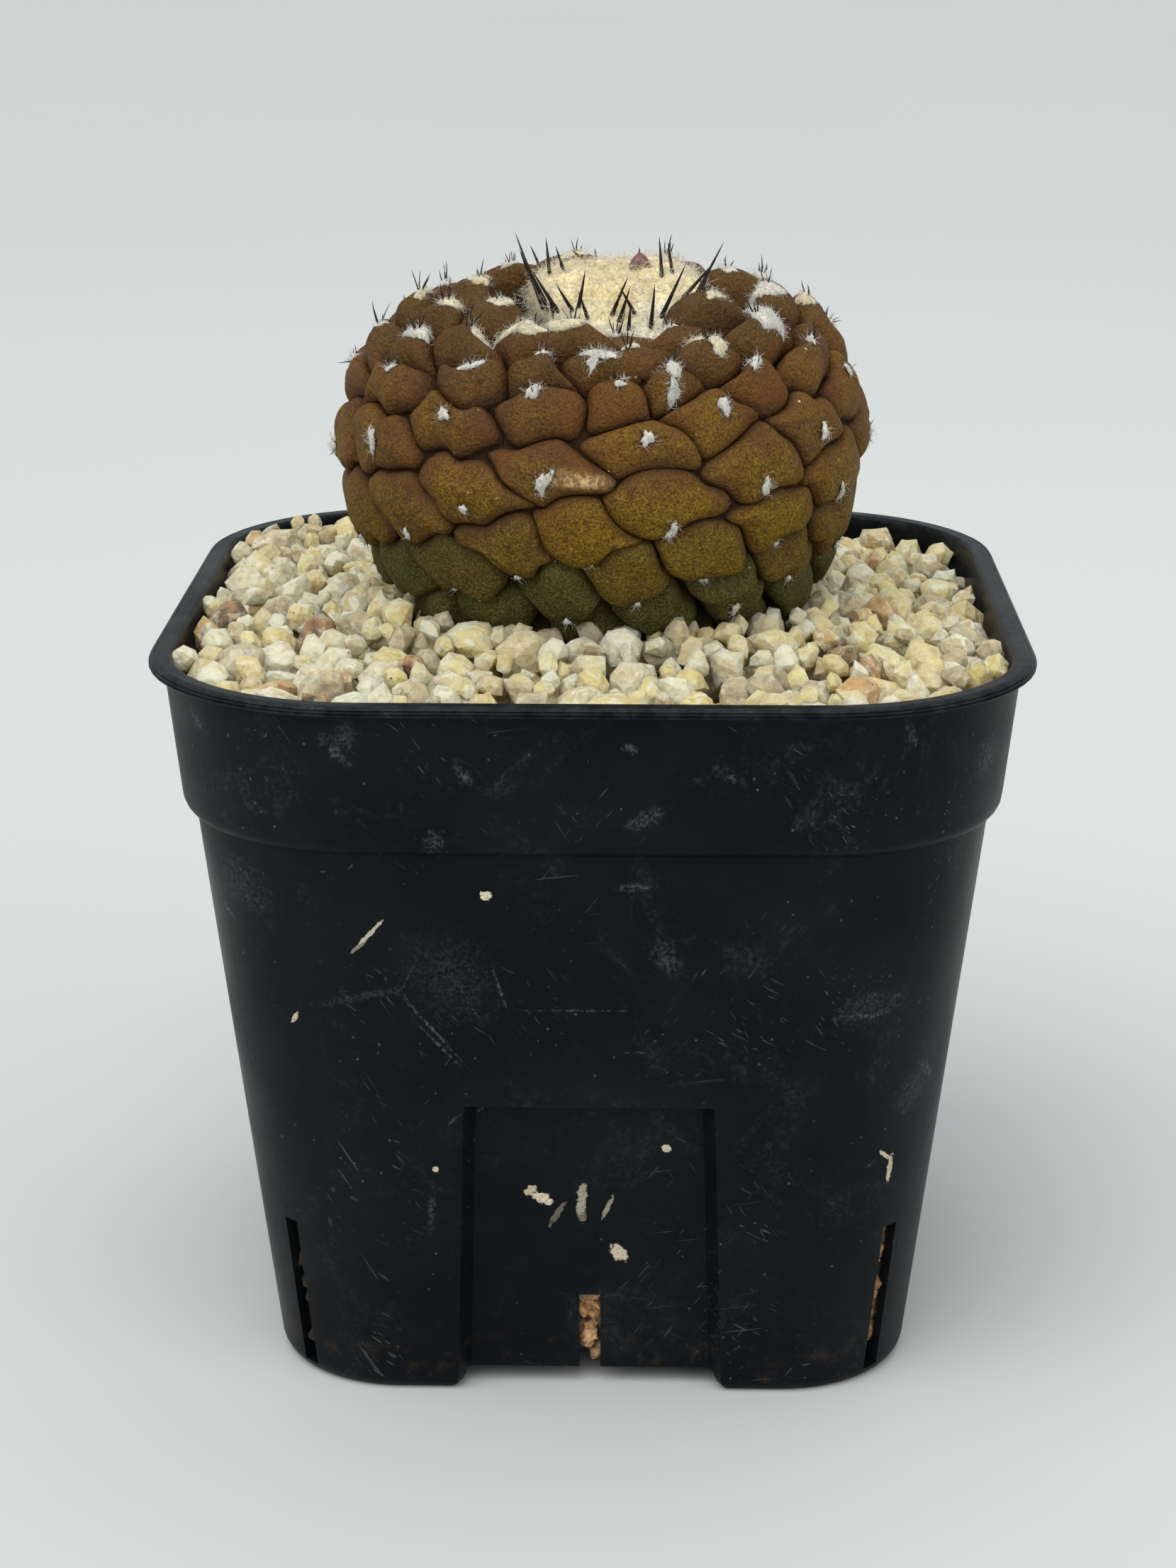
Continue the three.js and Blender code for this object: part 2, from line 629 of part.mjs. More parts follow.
// Close a rim with rings of the given radii and heights, and a last point on the axis
function closeRim(skin, angles, measure, rings, end, upward) {
  const count = angles.length;
  const levels = [angles.map((angle) => onPlant(angle, measure, 0))];
  for (const [radius, height] of rings) levels.push(angles.map((angle) => around(angle, radius, height)));
  const first = skin.points.length;
  skin.points.push(...levels.flat(), new THREE.Vector3(0, 0, end));
  const last = skin.points.length - 1;
  const add = (a, b, c) => skin.triangles.push(...(upward ? [a, b, c] : [a, c, b]));
  for (let i = 0; i < count; i += 1) {
    const next = (i + 1) % count;
    for (let level = 0; level < rings.length; level += 1) {
      const a = first + level * count + i;
      const b = first + level * count + next;
      add(a, b, b + count);
      add(a, b + count, a + count);
    }
    add(first + rings.length * count + i, first + rings.length * count + next, last);
  }
}

// Frame at an areole: its place and the way that the skin faces there
function areoleFrame(site) {
  const apex = apexOf(site);
  const place = onPlant(apex[0], apex[1], 1, site.growth);
  const across = onPlant(apex[0] + 0.01, apex[1], 1, site.growth).sub(place);
  const upward = onPlant(apex[0], apex[1] + 0.01, 1, site.growth).sub(place);
  const out = across.cross(upward).normalize();
  return { place, out, up: upward.normalize() };
}

function makeSmallSpines(sites) {
  const draw = makeDraw(21);
  const spines = [];
  for (const site of sites.filter((each) => each.index <= SMALL_SPINE_LAST)) {
    const { place, out, up } = areoleFrame(site);
    const root = place.clone().addScaledVector(out, -SMALL_SPINE_ROOT_DEPTH);
    for (let i = 0; i < SMALL_SPINES_EACH; i += 1) {
      const spin = (i / SMALL_SPINES_EACH) * Math.PI * 2 + draw() * SMALL_SPINE_TURN;
      const splay = up.clone().applyAxisAngle(out, spin).multiplyScalar(SMALL_SPINE_SPLAY);
      const reach = out.clone().add(splay).normalize();
      const tip = place.clone().addScaledVector(reach, between(SMALL_SPINE_LENGTH, draw()));
      spines.push(toSolid(needle(leanOver(root), leanOver(tip), SMALL_SPINE_RADIUS)));
    }
  }
  return spines;
}

function makeTufts(sites) {
  return sites.filter((site) => site.index <= TUFT_LAST).map((site) => {
    const { place, out } = areoleFrame(site);
    const tuft = new THREE.OctahedronGeometry(TUFT_RADIUS, 0);
    tuft.applyQuaternion(new THREE.Quaternion().setFromUnitVectors(UP, out));
    const seat = leanOver(place.clone().addScaledVector(out, -TUFT_SINK));
    return toSolid(tuft.translate(seat.x, seat.y, seat.z));
  });
}

function makePlant(sites) {
  const cells = tubercleCells(sites);
  const skin = tubercleSkin(sites, cells);
  closeRim(skin, orderedAngles(skin.rims.crown), outlineEnd, CROWN_HOLLOW, CROWN_FLOOR, true);
  closeRim(skin, orderedAngles(skin.rims.foot), 0, ROOT, ROOT_TIP, false);
  const body = toSolid(fromTriangles(skin.points.map(leanOver), skin.triangles));
  return wholePiece(joinAll([body, ...makeSmallSpines(sites), ...makeTufts(sites)]));
}

// Crown wool: a ruffled cushion with the crown's straight spines standing in it

function makeWool() {
  const draw = makeDraw(5);
  const rings = WOOL_OUTLINE.map(([radius, height]) => {
    const ring = [];
    for (let i = 0; i < WOOL_SIDES; i += 1) {
      const ruffle = radius + WOOL_RUFFLE * (draw() - 0.5) * 2;
      const angle = (i / WOOL_SIDES) * Math.PI * 2;
      ring.push(leanOver(new THREE.Vector3(ruffle * Math.cos(angle), ruffle * Math.sin(angle), height)));
    }
    return ring;
  });
  const peak = leanOver(new THREE.Vector3(0, 0, WOOL_TOP));
  const top = rings[rings.length - 1].map((point) => point.clone().lerp(peak, WOOL_PEAK_SHARE));
  const spines = [];
  for (let i = 0; i < CROWN_SPINES; i += 1) {
    const angle = ((i + CROWN_SPINE_SPACING * draw()) / CROWN_SPINES) * Math.PI * 2;
    const ring = between(CROWN_SPINE_RING, draw());
    const lean = radians(between(CROWN_SPINE_LEAN_DEGREES, draw()));
    const length = between(CROWN_SPINE_LENGTH, draw());
    const root = around(angle, ring, CROWN_SPINE_FOOT);
    const reach = around(angle + (draw() - 0.5) * CROWN_SPINE_TURN, Math.sin(lean), Math.cos(lean));
    const tip = root.clone().addScaledVector(reach, length);
    spines.push(toSolid(needle(leanOver(root), leanOver(tip), CROWN_SPINE_RADIUS)));
  }
  return wholePiece(joinAll([toSolid(loft([...rings, top])), ...spines]));
}

// Room that the plant takes in the fill, with the clearance on every side
function plantRoom() {
  const profile = [new THREE.Vector2(0, ROOT_TIP - PLANT_CLEARANCE)];
  for (const [radius, height] of [...ROOT].reverse()) {
    profile.push(new THREE.Vector2(radius + PLANT_CLEARANCE, height));
  }
  outline.forEach(([, radius, height, , rise], i) => {
    const used = i % PLANT_ROOM_SKIP === 0 && height < PLANT_ROOM_TOP && rise > 0;
    if (used) profile.push(new THREE.Vector2(radius + PLANT_CLEARANCE, height));
  });
  profile.push(new THREE.Vector2(0, profile[profile.length - 1].y));
  const room = new THREE.LatheGeometry(profile, PLANT_ROOM_SIDES);
  room.rotateX(Math.PI / 2);
  const position = room.attributes.position;
  for (let i = 0; i < position.count; i += 1) {
    const moved = leanOver(new THREE.Vector3().fromBufferAttribute(position, i));
    position.setXYZ(i, moved.x, moved.y, moved.z);
  }
  return toSolid(room);
}

// Soil and gravel

function makeSoil() {
  return potRoom(CLEARANCE, FLOOR_TOP + CLEARANCE, SOIL_TOP).subtract(plantRoom());
}

function gravelLevel(x, y) {
  const half = COLLAR_TOP_HALF_WIDTH;
  const back = (y / half + 1) / 2;
  const corner = smoothStep((x + y) / half - CORNER_DROP_START);
  return GRAVEL_LEVEL_FRONT + (GRAVEL_LEVEL_BACK - GRAVEL_LEVEL_FRONT) * back - GRAVEL_CORNER_DROP * corner;
}

// Angular grain: a tilted top face on flaring sides that run down into the bed
function makeStone(x, y, draw) {
  const radius = STONE_RADIUS * between(STONE_SIZE_RANGE, draw());
  const top = gravelLevel(x, y) + STONE_ROUGHNESS * (draw() - 0.5);
  const turn = draw() * Math.PI;
  const tilt = [STONE_TILT * (draw() - 0.5), STONE_TILT * (draw() - 0.5)];
  const ringAt = (share, height, tilted) => {
    const ring = [];
    for (let i = 0; i < STONE_SIDES; i += 1) {
      const angle = turn + ((i + STONE_CORNER_TURN * (draw() - 0.5)) / STONE_SIDES) * 2 * Math.PI;
      const reach = radius * share * between(STONE_CORNER_RANGE, draw());
      const dx = reach * Math.cos(angle);
      const dy = reach * Math.sin(angle);
      ring.push(new THREE.Vector3(x + dx, y + dy, height + tilted * (tilt[0] * dx + tilt[1] * dy)));
    }
    return ring;
  };
  return toSolid(loft([ringAt(STONE_FOOT_SHARE, GRAVEL_SKIRT_FOOT, 0), ringAt(STONE_TOP_SHARE, top, 1)]));
}

function makeGravel() {
  const draw = makeDraw(11);
  const half = COLLAR_TOP_HALF_WIDTH;
  const stones = [];
  const rowStep = (STONE_SPACING * Math.sqrt(3)) / 2;
  const rows = Math.ceil(half / rowStep);
  for (let row = -rows; row <= rows; row += 1) {
    for (let x = -half + (row & 1 ? STONE_SPACING / 2 : 0); x <= half; x += STONE_SPACING) {
      const px = x + STONE_SHIFT * (draw() - 0.5);
      const py = row * rowStep + STONE_SHIFT * (draw() - 0.5);
      const fromPlant = Math.hypot(px - PLANT_OFFSET_X, py);
      if (fromPlant > STONE_PLANT_GAP) stones.push(makeStone(px, py, draw));
    }
  }
  const bedFoot = SOIL_TOP + CLEARANCE;
  const heap = joinAll([toSolid(box(
    new THREE.Vector3(-half - CUT_OVERRUN, -half - CUT_OVERRUN, bedFoot),
    new THREE.Vector3(half + CUT_OVERRUN, half + CUT_OVERRUN, GRAVEL_BED_TOP),
  )), ...stones]);
  const room = potRoom(CLEARANCE, bedFoot, POT_HEIGHT + GRAVEL_HEADROOM);
  return wholePiece(heap.intersect(room).subtract(plantRoom()));
}

// Assembly

function makeMesh(name, solid, colour, roughness) {
  const material = new THREE.MeshStandardMaterial({ color: colour, roughness, metalness: 0 });
  const mesh = new THREE.Mesh(toGeometry(solid), material);
  mesh.name = name;
  return mesh;
}

const sites = tubercleSites();
const group = new THREE.Group();
group.add(makeMesh('pot', makePot(), 0x17191b, 0.42));
group.add(makeMesh('substrate', makeSoil(), 0x5b3f28, 0.95));
group.add(makeMesh('gravel_topdressing', makeGravel(), 0xcfc6ae, 0.6));
group.add(makeMesh('cactus_body', makePlant(sites), 0x5a4327, 0.7));
group.add(makeMesh('crown_wool', makeWool(), 0xe4d7b2, 0.95));

export default group;
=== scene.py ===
"""Looks of a potted Copiapoa hypogaea: pot, gravel, plant, wool and spines, around the fixed frame."""

import json
import logging
import math
from collections.abc import Callable, Iterator, Sequence
from contextlib import contextmanager
from dataclasses import dataclass, field
from enum import Enum

import bmesh
import bpy
import numpy as np
from mathutils import Matrix, Vector, noise

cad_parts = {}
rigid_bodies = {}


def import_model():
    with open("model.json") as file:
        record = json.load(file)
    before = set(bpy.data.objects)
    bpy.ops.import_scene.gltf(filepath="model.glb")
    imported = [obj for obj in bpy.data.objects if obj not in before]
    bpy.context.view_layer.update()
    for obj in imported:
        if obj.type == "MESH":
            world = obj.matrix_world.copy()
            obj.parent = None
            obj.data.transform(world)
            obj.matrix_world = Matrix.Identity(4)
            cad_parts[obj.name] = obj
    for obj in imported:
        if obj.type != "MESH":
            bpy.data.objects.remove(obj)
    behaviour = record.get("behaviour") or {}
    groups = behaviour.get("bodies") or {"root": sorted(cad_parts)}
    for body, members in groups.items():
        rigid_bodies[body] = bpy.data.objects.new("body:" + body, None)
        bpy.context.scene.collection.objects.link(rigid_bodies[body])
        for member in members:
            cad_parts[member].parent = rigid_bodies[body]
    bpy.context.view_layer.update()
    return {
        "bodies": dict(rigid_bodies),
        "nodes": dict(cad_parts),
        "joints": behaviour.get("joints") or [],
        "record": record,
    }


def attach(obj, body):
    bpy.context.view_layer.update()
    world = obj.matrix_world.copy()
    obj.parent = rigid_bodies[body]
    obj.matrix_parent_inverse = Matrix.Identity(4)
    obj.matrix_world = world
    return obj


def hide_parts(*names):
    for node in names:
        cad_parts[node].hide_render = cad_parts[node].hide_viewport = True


logging.basicConfig(level=logging.INFO, format="%(message)s")
LOG = logging.getLogger("potted_copiapoa")

MM = 0.001
TURN = 2 * math.pi
BODY = "root"
Array = np.ndarray
Colour = tuple[float, float, float]
Pair = tuple[float, float]
Rows = tuple[tuple[float, ...], ...]
Material = bpy.types.Material
Shapes = bpy.types.Collection
Socket = bpy.types.NodeSocket
Thing = bpy.types.Object


# ---- numbers


def make_draw(seed: int) -> Callable[[], float]:
    """Seeded draw from 0 to 1, in the same order as the solids use it.

    Args:
        seed: first state of the draw.

    Returns:
        A function that gives the next number.
    """
    state = float(seed)

    def draw() -> float:
        """Next number."""
        nonlocal state
        state = math.fmod(state * 1103515245.0 + 12345.0, 2147483648.0)
        return state / 2147483648.0

    return draw


def smooth_step(value: Array | float) -> Array | float:
    """Smooth rise from 0 to 1 as the value goes from 0 to 1."""
    t = np.clip(value, 0.0, 1.0)
    return t * t * (3 - 2 * t)


def table(rows: Sequence[tuple[float, ...]], place: Array | float, column: int = 1) -> Array | float:
    """Value at a place on rows of (place, value, ...), in straight lines."""
    return np.interp(place, [row[0] for row in rows], [row[column] for row in rows])


def around(angle: Array, radius: Array, height: Array) -> Array:
    """Points at an angle from the front, a radius and a height, in millimetres."""
    angle, radius, height = np.broadcast_arrays(angle, radius, height)
    return np.stack([radius * np.sin(angle), -radius * np.cos(angle), height], axis=-1)


def unit(vectors: Array) -> Array:
    """The same directions with length 1."""
    return vectors / np.maximum(np.linalg.norm(vectors, axis=-1, keepdims=True), 1e-12)


# ---- meshes


def adjust(thing: object, **settings: object) -> object:
    """Sets properties of a thing and gives it back.

    Args:
        thing: what is set.
        settings: property names and values.

    Returns:
        the same thing.
    """
    for key, value in settings.items():
        setattr(thing, key, value)
    return thing


def add_object(name: str, data: bpy.types.ID) -> Thing:
    """Object of a mesh, light or camera, linked to the scene.

    Args:
        name: name of the object.
        data: its mesh, light or camera.

    Returns:
        the object.
    """
    made = bpy.data.objects.new(name, data)
    bpy.context.scene.collection.objects.link(made)
    return made


def paint(piece: Thing, material: Material) -> None:
    """Gives a piece one finish."""
    piece.data.materials.clear()
    piece.data.materials.append(material)


@contextmanager
def editing(mesh: bpy.types.Mesh) -> Iterator[bmesh.types.BMesh]:
    """A mesh opened for editing, and written back at the end.

    Args:
        mesh: mesh that is edited.

    Yields:
        the opened mesh, for the length of the block.
    """
    sheet = bmesh.new()
    sheet.from_mesh(mesh)
    yield sheet
    sheet.to_mesh(mesh)
    sheet.free()


def new_object(name: str, points: Array, faces: Sequence[Sequence[int]],
               values: dict[str, Array] | None = None) -> Thing:
    """Mesh object from points in millimetres.

    Args:
        name: object and mesh name.
        points: one row for each vertex, in millimetres.
        faces: vertex numbers of each face.
        values: named numbers, one for each vertex.

    Returns:
        The object, linked to the scene and at the origin.
    """
    mesh = bpy.data.meshes.new(name)
    mesh.from_pydata((np.asarray(points, float) * MM).tolist(), [], [list(map(int, f)) for f in faces])
    for key, value in (values or {}).items():
        mesh.attributes.new(key, "FLOAT", "POINT").data.foreach_set("value", np.asarray(value, np.float32))
    return add_object(name, mesh)


def smooth_by_angle(mesh: bpy.types.Mesh, degrees: float) -> None:
    """Smooth shading with sharp edges past an angle."""
    mesh.shade_smooth()
    mesh.set_sharp_from_angle(angle=math.radians(degrees))


def settle(made: Thing, name: str | None = None) -> Thing:
    """Turns an object with modifiers into a plain mesh object at the origin.

    Args:
        made: object whose modifiers are applied.
        name: name of the plain object, its own name where this is None.

    Returns:
        The plain object; the old one is removed.
    """
    bpy.context.view_layer.update()
    graph = bpy.context.evaluated_depsgraph_get()
    mesh = bpy.data.meshes.new_from_object(made.evaluated_get(graph), preserve_all_data_layers=True, depsgraph=graph)
    final = name or made.name
    bpy.data.objects.remove(made)
    plain = add_object(final, mesh)
    plain.name = mesh.name = final
    return plain


def subtract(target: Thing, cutters: Sequence[Thing]) -> Thing:
    """Cuts closed objects out of another one and removes them.

    Args:
        target: object that is cut.
        cutters: closed objects.

    Returns:
        The cut object.
    """
    for cutter in cutters:
        adjust(target.modifiers.new("cut", "BOOLEAN"), operation="DIFFERENCE", solver="MANIFOLD", object=cutter)
    result = settle(target)
    for cutter in cutters:
        bpy.data.objects.remove(cutter)
    return result


def ring_faces(rows: int, columns: int, first: int = 0) -> list[list[int]]:
    """Quads between closed rows of points, the first point having the given number.

    Args:
        rows: number of rows.
        columns: points in each row.
        first: number of the first point.

    Returns:
        the point numbers of each quad.
    """
    return [[first + low + k for k in (a, b, b + columns, a + columns)]
            for low in range(0, (rows - 1) * columns, columns)
            for a, b in ((c, (c + 1) % columns) for c in range(columns))]


def loft(name: str, rings: Sequence[Array]) -> Thing:
    """Closed body with flat ends through rings of points, lowest first, each anticlockwise from above.

    Args:
        name: name of the object.
        rings: the rings.

    Returns:
        the object.
    """
    count = len(rings[0])
    last = (len(rings) - 1) * count
    faces = [list(range(count - 1, -1, -1)), *ring_faces(len(rings), count), list(range(last, last + count))]
    return new_object(name, np.concatenate(rings), faces)


class Batch:
    """Collects the points and faces of many small shapes into one mesh."""

    def __init__(self) -> None:
        """Starts empty."""
        self.points: list[Array] = []
        self.faces: list[list[int]] = []
        self.count = 0

    def add_tube(self, path: Array, radii: Array, sides: int) -> None:
        """Adds a round closed tube along a path, pointed at its far end.

        Args:
            path: points of the centre line, in millimetres.
            radii: radius at each point; the last point is the tip.
            sides: number of sides.
        """
        axis = unit(np.gradient(path, axis=0))
        reference = np.where(np.abs(axis[:, 2:3]) > 0.9, [[1.0, 0.0, 0.0]], [[0.0, 0.0, 1.0]])
        side = unit(np.cross(axis, reference))
        other = np.cross(axis, side)
        turns = np.arange(sides)[:, None] / sides * TURN
        rings = [place + radius * (np.cos(turns) * a + np.sin(turns) * b)
                 for place, radius, a, b in zip(path[:-1], radii, side, other)]
        base, tip = self.count + (len(rings) - 1) * sides, self.count + len(rings) * sides
        self.faces.append([self.count + i for i in range(sides - 1, -1, -1)])
        self.faces += ring_faces(len(rings), sides, self.count)
        self.faces += [[base + i, base + (i + 1) % sides, tip] for i in range(sides)]
        self.points += [*rings, path[-1:]]
        self.count = tip + 1

    def add_rings(self, rings: Array) -> None:
        """Adds closed rings of points, by ring and by turn, as quads.

        Args:
            rings: points, by ring and by turn.
        """
        rows, columns = rings.shape[:2]
        self.points.append(rings.reshape(-1, 3))
        self.faces += ring_faces(rows, columns, self.count)
        self.count += rows * columns

    def build(self, name: str, close: bool = False) -> Thing:
        """Builds the mesh.

        Args:
            name: object name.
            close: whether open rims get a face.

        Returns:
            The smooth mesh object of all that was added.
        """
        made = new_object(name, np.concatenate(self.points), self.faces)
        if close:
            with editing(made.data) as sheet:
                bmesh.ops.holes_fill(sheet, edges=[e for e in sheet.edges if e.is_boundary], sides=0)
                bmesh.ops.recalc_face_normals(sheet, faces=sheet.faces)
        made.data.shade_smooth()
        return made


# ---- shader board


class Tree:
    """Node tree laid out by code."""

    def __init__(self, tree: bpy.types.NodeTree) -> None:
        """Keeps the tree."""
        self.tree = tree

    def fill(self, node: bpy.types.Node, inputs: dict[str | int, object]) -> None:
        """Joins inputs of a node to other sockets, or sets their values.

        Args:
            node: the node.
            inputs: sockets or values by the name or number of the input.
        """
        for key, value in inputs.items():
            socket = node.inputs[key]
            if isinstance(value, Socket):
                self.tree.links.new(value, socket)
            else:
                socket.default_value = (*value[:3], 1.0) if socket.type == "RGBA" else value

    def node(self, kind: str, inputs: dict[str | int, object] | None = None, **settings: object) -> bpy.types.Node:
        """Adds a node and sets its properties and inputs.

        Args:
            kind: type of the node.
            inputs: values or links by socket.
            settings: properties of the node.

        Returns:
            the node.
        """
        made = adjust(self.tree.nodes.new(kind), **settings)
        self.fill(made, inputs or {})
        return made


class Board(Tree):
    """Lays out and joins the nodes of one finish."""

    def __init__(self, name: str) -> None:
        """Starts a material with one principled shader.

        Args:
            name: name of the material.
        """
        self.material = adjust(bpy.data.materials.new(name), use_nodes=True)
        super().__init__(self.material.node_tree)
        self.shader = self.tree.nodes["Principled BSDF"]
        self.place = self.node("ShaderNodeTexCoord").outputs["Object"]
        self.colour: Socket | None = None

    def noise(self, scale: float, detail: float = 2.0, roughness: float = 0.5,
              distortion: float = 0.0, place: Socket | None = None) -> Socket:
        """Cloudy pattern from 0 to 1; scale counts blots for each millimetre.

        Args:
            scale: blots for each millimetre.
            detail: octaves.
            roughness: weight of the finer octaves.
            distortion: twist of the blots.
            place: point it is read at, the object's own by default.

        Returns:
            the pattern.
        """
        return self.node("ShaderNodeTexNoise", {
            "Vector": place or self.place, "Scale": scale / MM, "Detail": detail, "Roughness": roughness,
            "Distortion": distortion}).outputs["Fac"]

    def cells(self, scale: float, output: str = "Distance") -> Socket:
        """Cell pattern; scale counts cells for each millimetre."""
        return self.node("ShaderNodeTexVoronoi", {"Vector": self.place, "Scale": scale / MM}).outputs[output]

    def ramp(self, value: Socket, stops: Sequence[tuple[float, Colour]]) -> Socket:
        """Colour along stops of (place, colour).

        Args:
            value: place along the ramp, from 0 to 1.
            stops: places and their colours.

        Returns:
            The colour.
        """
        made = self.node("ShaderNodeValToRGB", {"Fac": value})
        line = made.color_ramp
        while len(line.elements) < len(stops):
            line.elements.new(0.5)
        for element, (place, colour) in zip(line.elements, stops):
            adjust(element, position=place, color=(*colour, 1.0))
        return made.outputs["Color"]

    def span(self, value: Socket, low: float, high: float, first: float = 0.0, last: float = 1.0) -> Socket:
        """Value from first to last as the input goes from low to high, held at the ends.

        Args:
            value: the input.
            low: input that gives first.
            high: input that gives last.
            first: result at low.
            last: result at high.

        Returns:
            the result.
        """
        return self.node("ShaderNodeMapRange", {
            "Value": value, "From Min": low, "From Max": high, "To Min": first, "To Max": last},
                         interpolation_type="SMOOTHSTEP").outputs["Result"]

    def math(self, operation: str, a: Socket | float, b: Socket | float = 0.0, clamp: bool = False) -> Socket:
        """Sum, product and the like of two numbers."""
        return self.node("ShaderNodeMath", {0: a, 1: b}, operation=operation, use_clamp=clamp).outputs[0]

    def chain(self, operation: str, values: Sequence[Socket | float]) -> Socket:
        """Result of one operation over several numbers, from the left.

        Args:
            operation: the operation.
            values: the numbers.

        Returns:
            the result.
        """
        result = values[0]
        for value in values[1:]:
            result = self.math(operation, result, value)
        return result

    def times(self, *values: Socket | float) -> Socket:
        """Product of numbers."""
        return self.chain("MULTIPLY", values)

    def plus(self, *values: Socket | float) -> Socket:
        """Sum of numbers."""
        return self.chain("ADD", values)

    def most(self, *values: Socket | float) -> Socket:
        """Largest of some numbers."""
        return self.chain("MAXIMUM", values)

    def patches(self, cloud: tuple[float, ...], *limits: float) -> Socket:
        """Patches of a cloudy pattern: the numbers of noise, then those of span."""
        return self.span(self.noise(*cloud), *limits)

    def blend(self, factor: Socket | float, a: Socket | Colour, b: Socket | Colour) -> Socket:
        """Colour between two colours."""
        return self.node("ShaderNodeMix", {0: factor, 6: a, 7: b}, data_type="RGBA", clamp_factor=True).outputs[2]

    def coat(self, factor: Socket | float, colour: Socket | Colour) -> None:
        """Lays a colour over the finish's colour so far."""
        self.colour = self.blend(factor, self.colour, colour)

    def attribute(self, name: str) -> Socket:
        """The piece's own named number."""
        return self.node("ShaderNodeAttribute", attribute_name=name).outputs["Fac"]

    def axis(self, letter: str) -> Socket:
        """One coordinate of the place, in metres."""
        return self.node("ShaderNodeSeparateXYZ", {0: self.place}).outputs[letter]

    def far(self, middle: Colour, place: Socket | None = None) -> Socket:
        """Distance between two places."""
        return self.node("ShaderNodeVectorMath", {0: place or self.place, 1: middle}, operation="DISTANCE").outputs[1]

    def moved(self, shift: Colour, turn: Colour = (0.0, 0.0, 0.0), scale: Colour = (1.0, 1.0, 1.0)) -> Socket:
        """Object coordinates of a pattern that is moved, turned and stretched.

        Args:
            shift: the point that becomes the pattern's middle, in millimetres.
            turn: turn of the pattern about the three axes, in degrees.
            scale: stretch of the pattern along its own axes.

        Returns:
            The coordinates, in metres.
        """
        return self.node("ShaderNodeMapping", {
            "Vector": self.place, "Location": [value * MM for value in shift],
            "Rotation": [math.radians(value) for value in turn], "Scale": scale}, vector_type="TEXTURE").outputs[0]

    def bump(self, height: Socket, depth: float, strength: float = 1.0, normal: Socket | None = None) -> Socket:
        """Normal of a relief; depth in millimetres.

        Args:
            height: relief from 0 to 1.
            depth: depth of the relief.
            strength: how much of it counts.
            normal: normal it starts from.

        Returns:
            the normal.
        """
        below = {"Normal": normal} if normal else {}
        return self.node("ShaderNodeBump", {
            "Height": height, "Distance": depth * MM, "Strength": strength, **below}).outputs[0]

    def finish(self, roughness: Socket | float, normal: Socket | None = None, **sockets: object) -> Material:
        """Joins the results to the shader.

        Args:
            roughness: roughness.
            normal: normal from a bump, where there is one.
            **sockets: further inputs of the shader by name, with _ for a space.

        Returns:
            The material.
        """
        below = {"Normal": normal} if normal else {}
        self.fill(self.shader, {"Base Color": self.colour, "Roughness": roughness, **below,
                                **{key.replace("_", " "): value for key, value in sockets.items()}})
        return self.material


# ---- finishes


@dataclass(frozen=True)
class Mark:
    """Dried drop, smudge or scuff on the front of the pot, in millimetres and degrees."""

    x: float
    z: float
    width: float
    length: float
    turn: float
    strength: float
    dirt: bool = False


DRIED_DROPS = (
    (-10, 57.6, 1.2, 1, 10, 1), (-15.7, 26.7, 0.6, 0.7, 0, 0.9), (7.9, 28.3, 0.9, 0.8, 0, 0.9),
    (-6.1, 23.2, 1, 1.3, 60, 0.75), (-4.9, 22.4, 1.1, 2.3, -62, 0.95), (-0.8, 22.2, 1, 4, 4, 0.5),
    (-0.8, 20.6, 1, 2.4, 0, 0.22), (-3.4, 20.4, 0.7, 3, 30, 0.2), (3, 15.9, 1.4, 2.2, -38, 0.85),
    (1.9, 21.4, 0.5, 2.6, 22, 0.4), (-21.6, 53.4, 0.45, 3.4, 42, 0.75), (-22.8, 51.9, 0.4, 2.2, 48, 0.35),
    (-29.7, 43.1, 0.5, 1.5, 30, 0.85), (30.3, 27.4, 0.45, 1.8, -40, 0.85), (30.9, 25.6, 0.5, 3, 6, 0.75),
)
SCUFFS = (
    (-36.6, 53, 0.5, 1.9, -45, 0.75), (28.6, 26.6, 0.4, 1.7, 55, 0.3), (-11.9, 70.7, 1, 2.6, -38, 0.42),
    (-24.4, 73.2, 1.2, 3.8, -42, 0.36), (-23.4, 74.6, 2.6, 3, 0, 0.22), (5.6, 66.3, 1.6, 4, 60, 0.3),
    (34.6, 35.8, 1, 3.8, -30, 0.42), (33.2, 34, 3.4, 6, 20, 0.2), (27.6, 44.2, 1, 6.4, 88, 0.34),
    (28.4, 45.2, 3.4, 6.4, 88, 0.16), (4.6, 58.6, 0.9, 3.8, 86, 0.34), (-13.4, 48.2, 8, 10.5, -24, 0.1),
    (-22.6, 46.4, 1, 10.5, 76, 0.16), (39.4, 70.4, 3, 4.4, 10, 0.3), (-35, 57, 5, 7.5, -50, 0.2),
    (7.8, 50.8, 2.6, 4.5, -30, 0.22), (-15, 63.6, 2, 3, 0, 0.26), (-38.5, 74, 1.4, 3, -30, 0.34),
    (13.6, 71, 1.4, 3.2, -60, 0.28), (4, 73.6, 1, 1.6, -50, 0.34), (-16.2, 21.8, 0.8, 5, 3, 0.24),
    (31, 75, 0.8, 3, -20, 0.3), (-16.3, 43.6, 0.4, 11, -39, 0.42), (-15.2, 41.2, 0.35, 5.6, -42, 0.4),
    (-8.8, 47.2, 0.35, 5.2, -16, 0.34), (-0.9, 45, 0.3, 11, 90, 0.24), (4.8, 40.3, 0.3, 2.2, 88, 0.4),
    (-17.5, 49.5, 0.3, 4.6, 25, 0.28), (-12, 46, 0.3, 6, -28, 0.26),
)
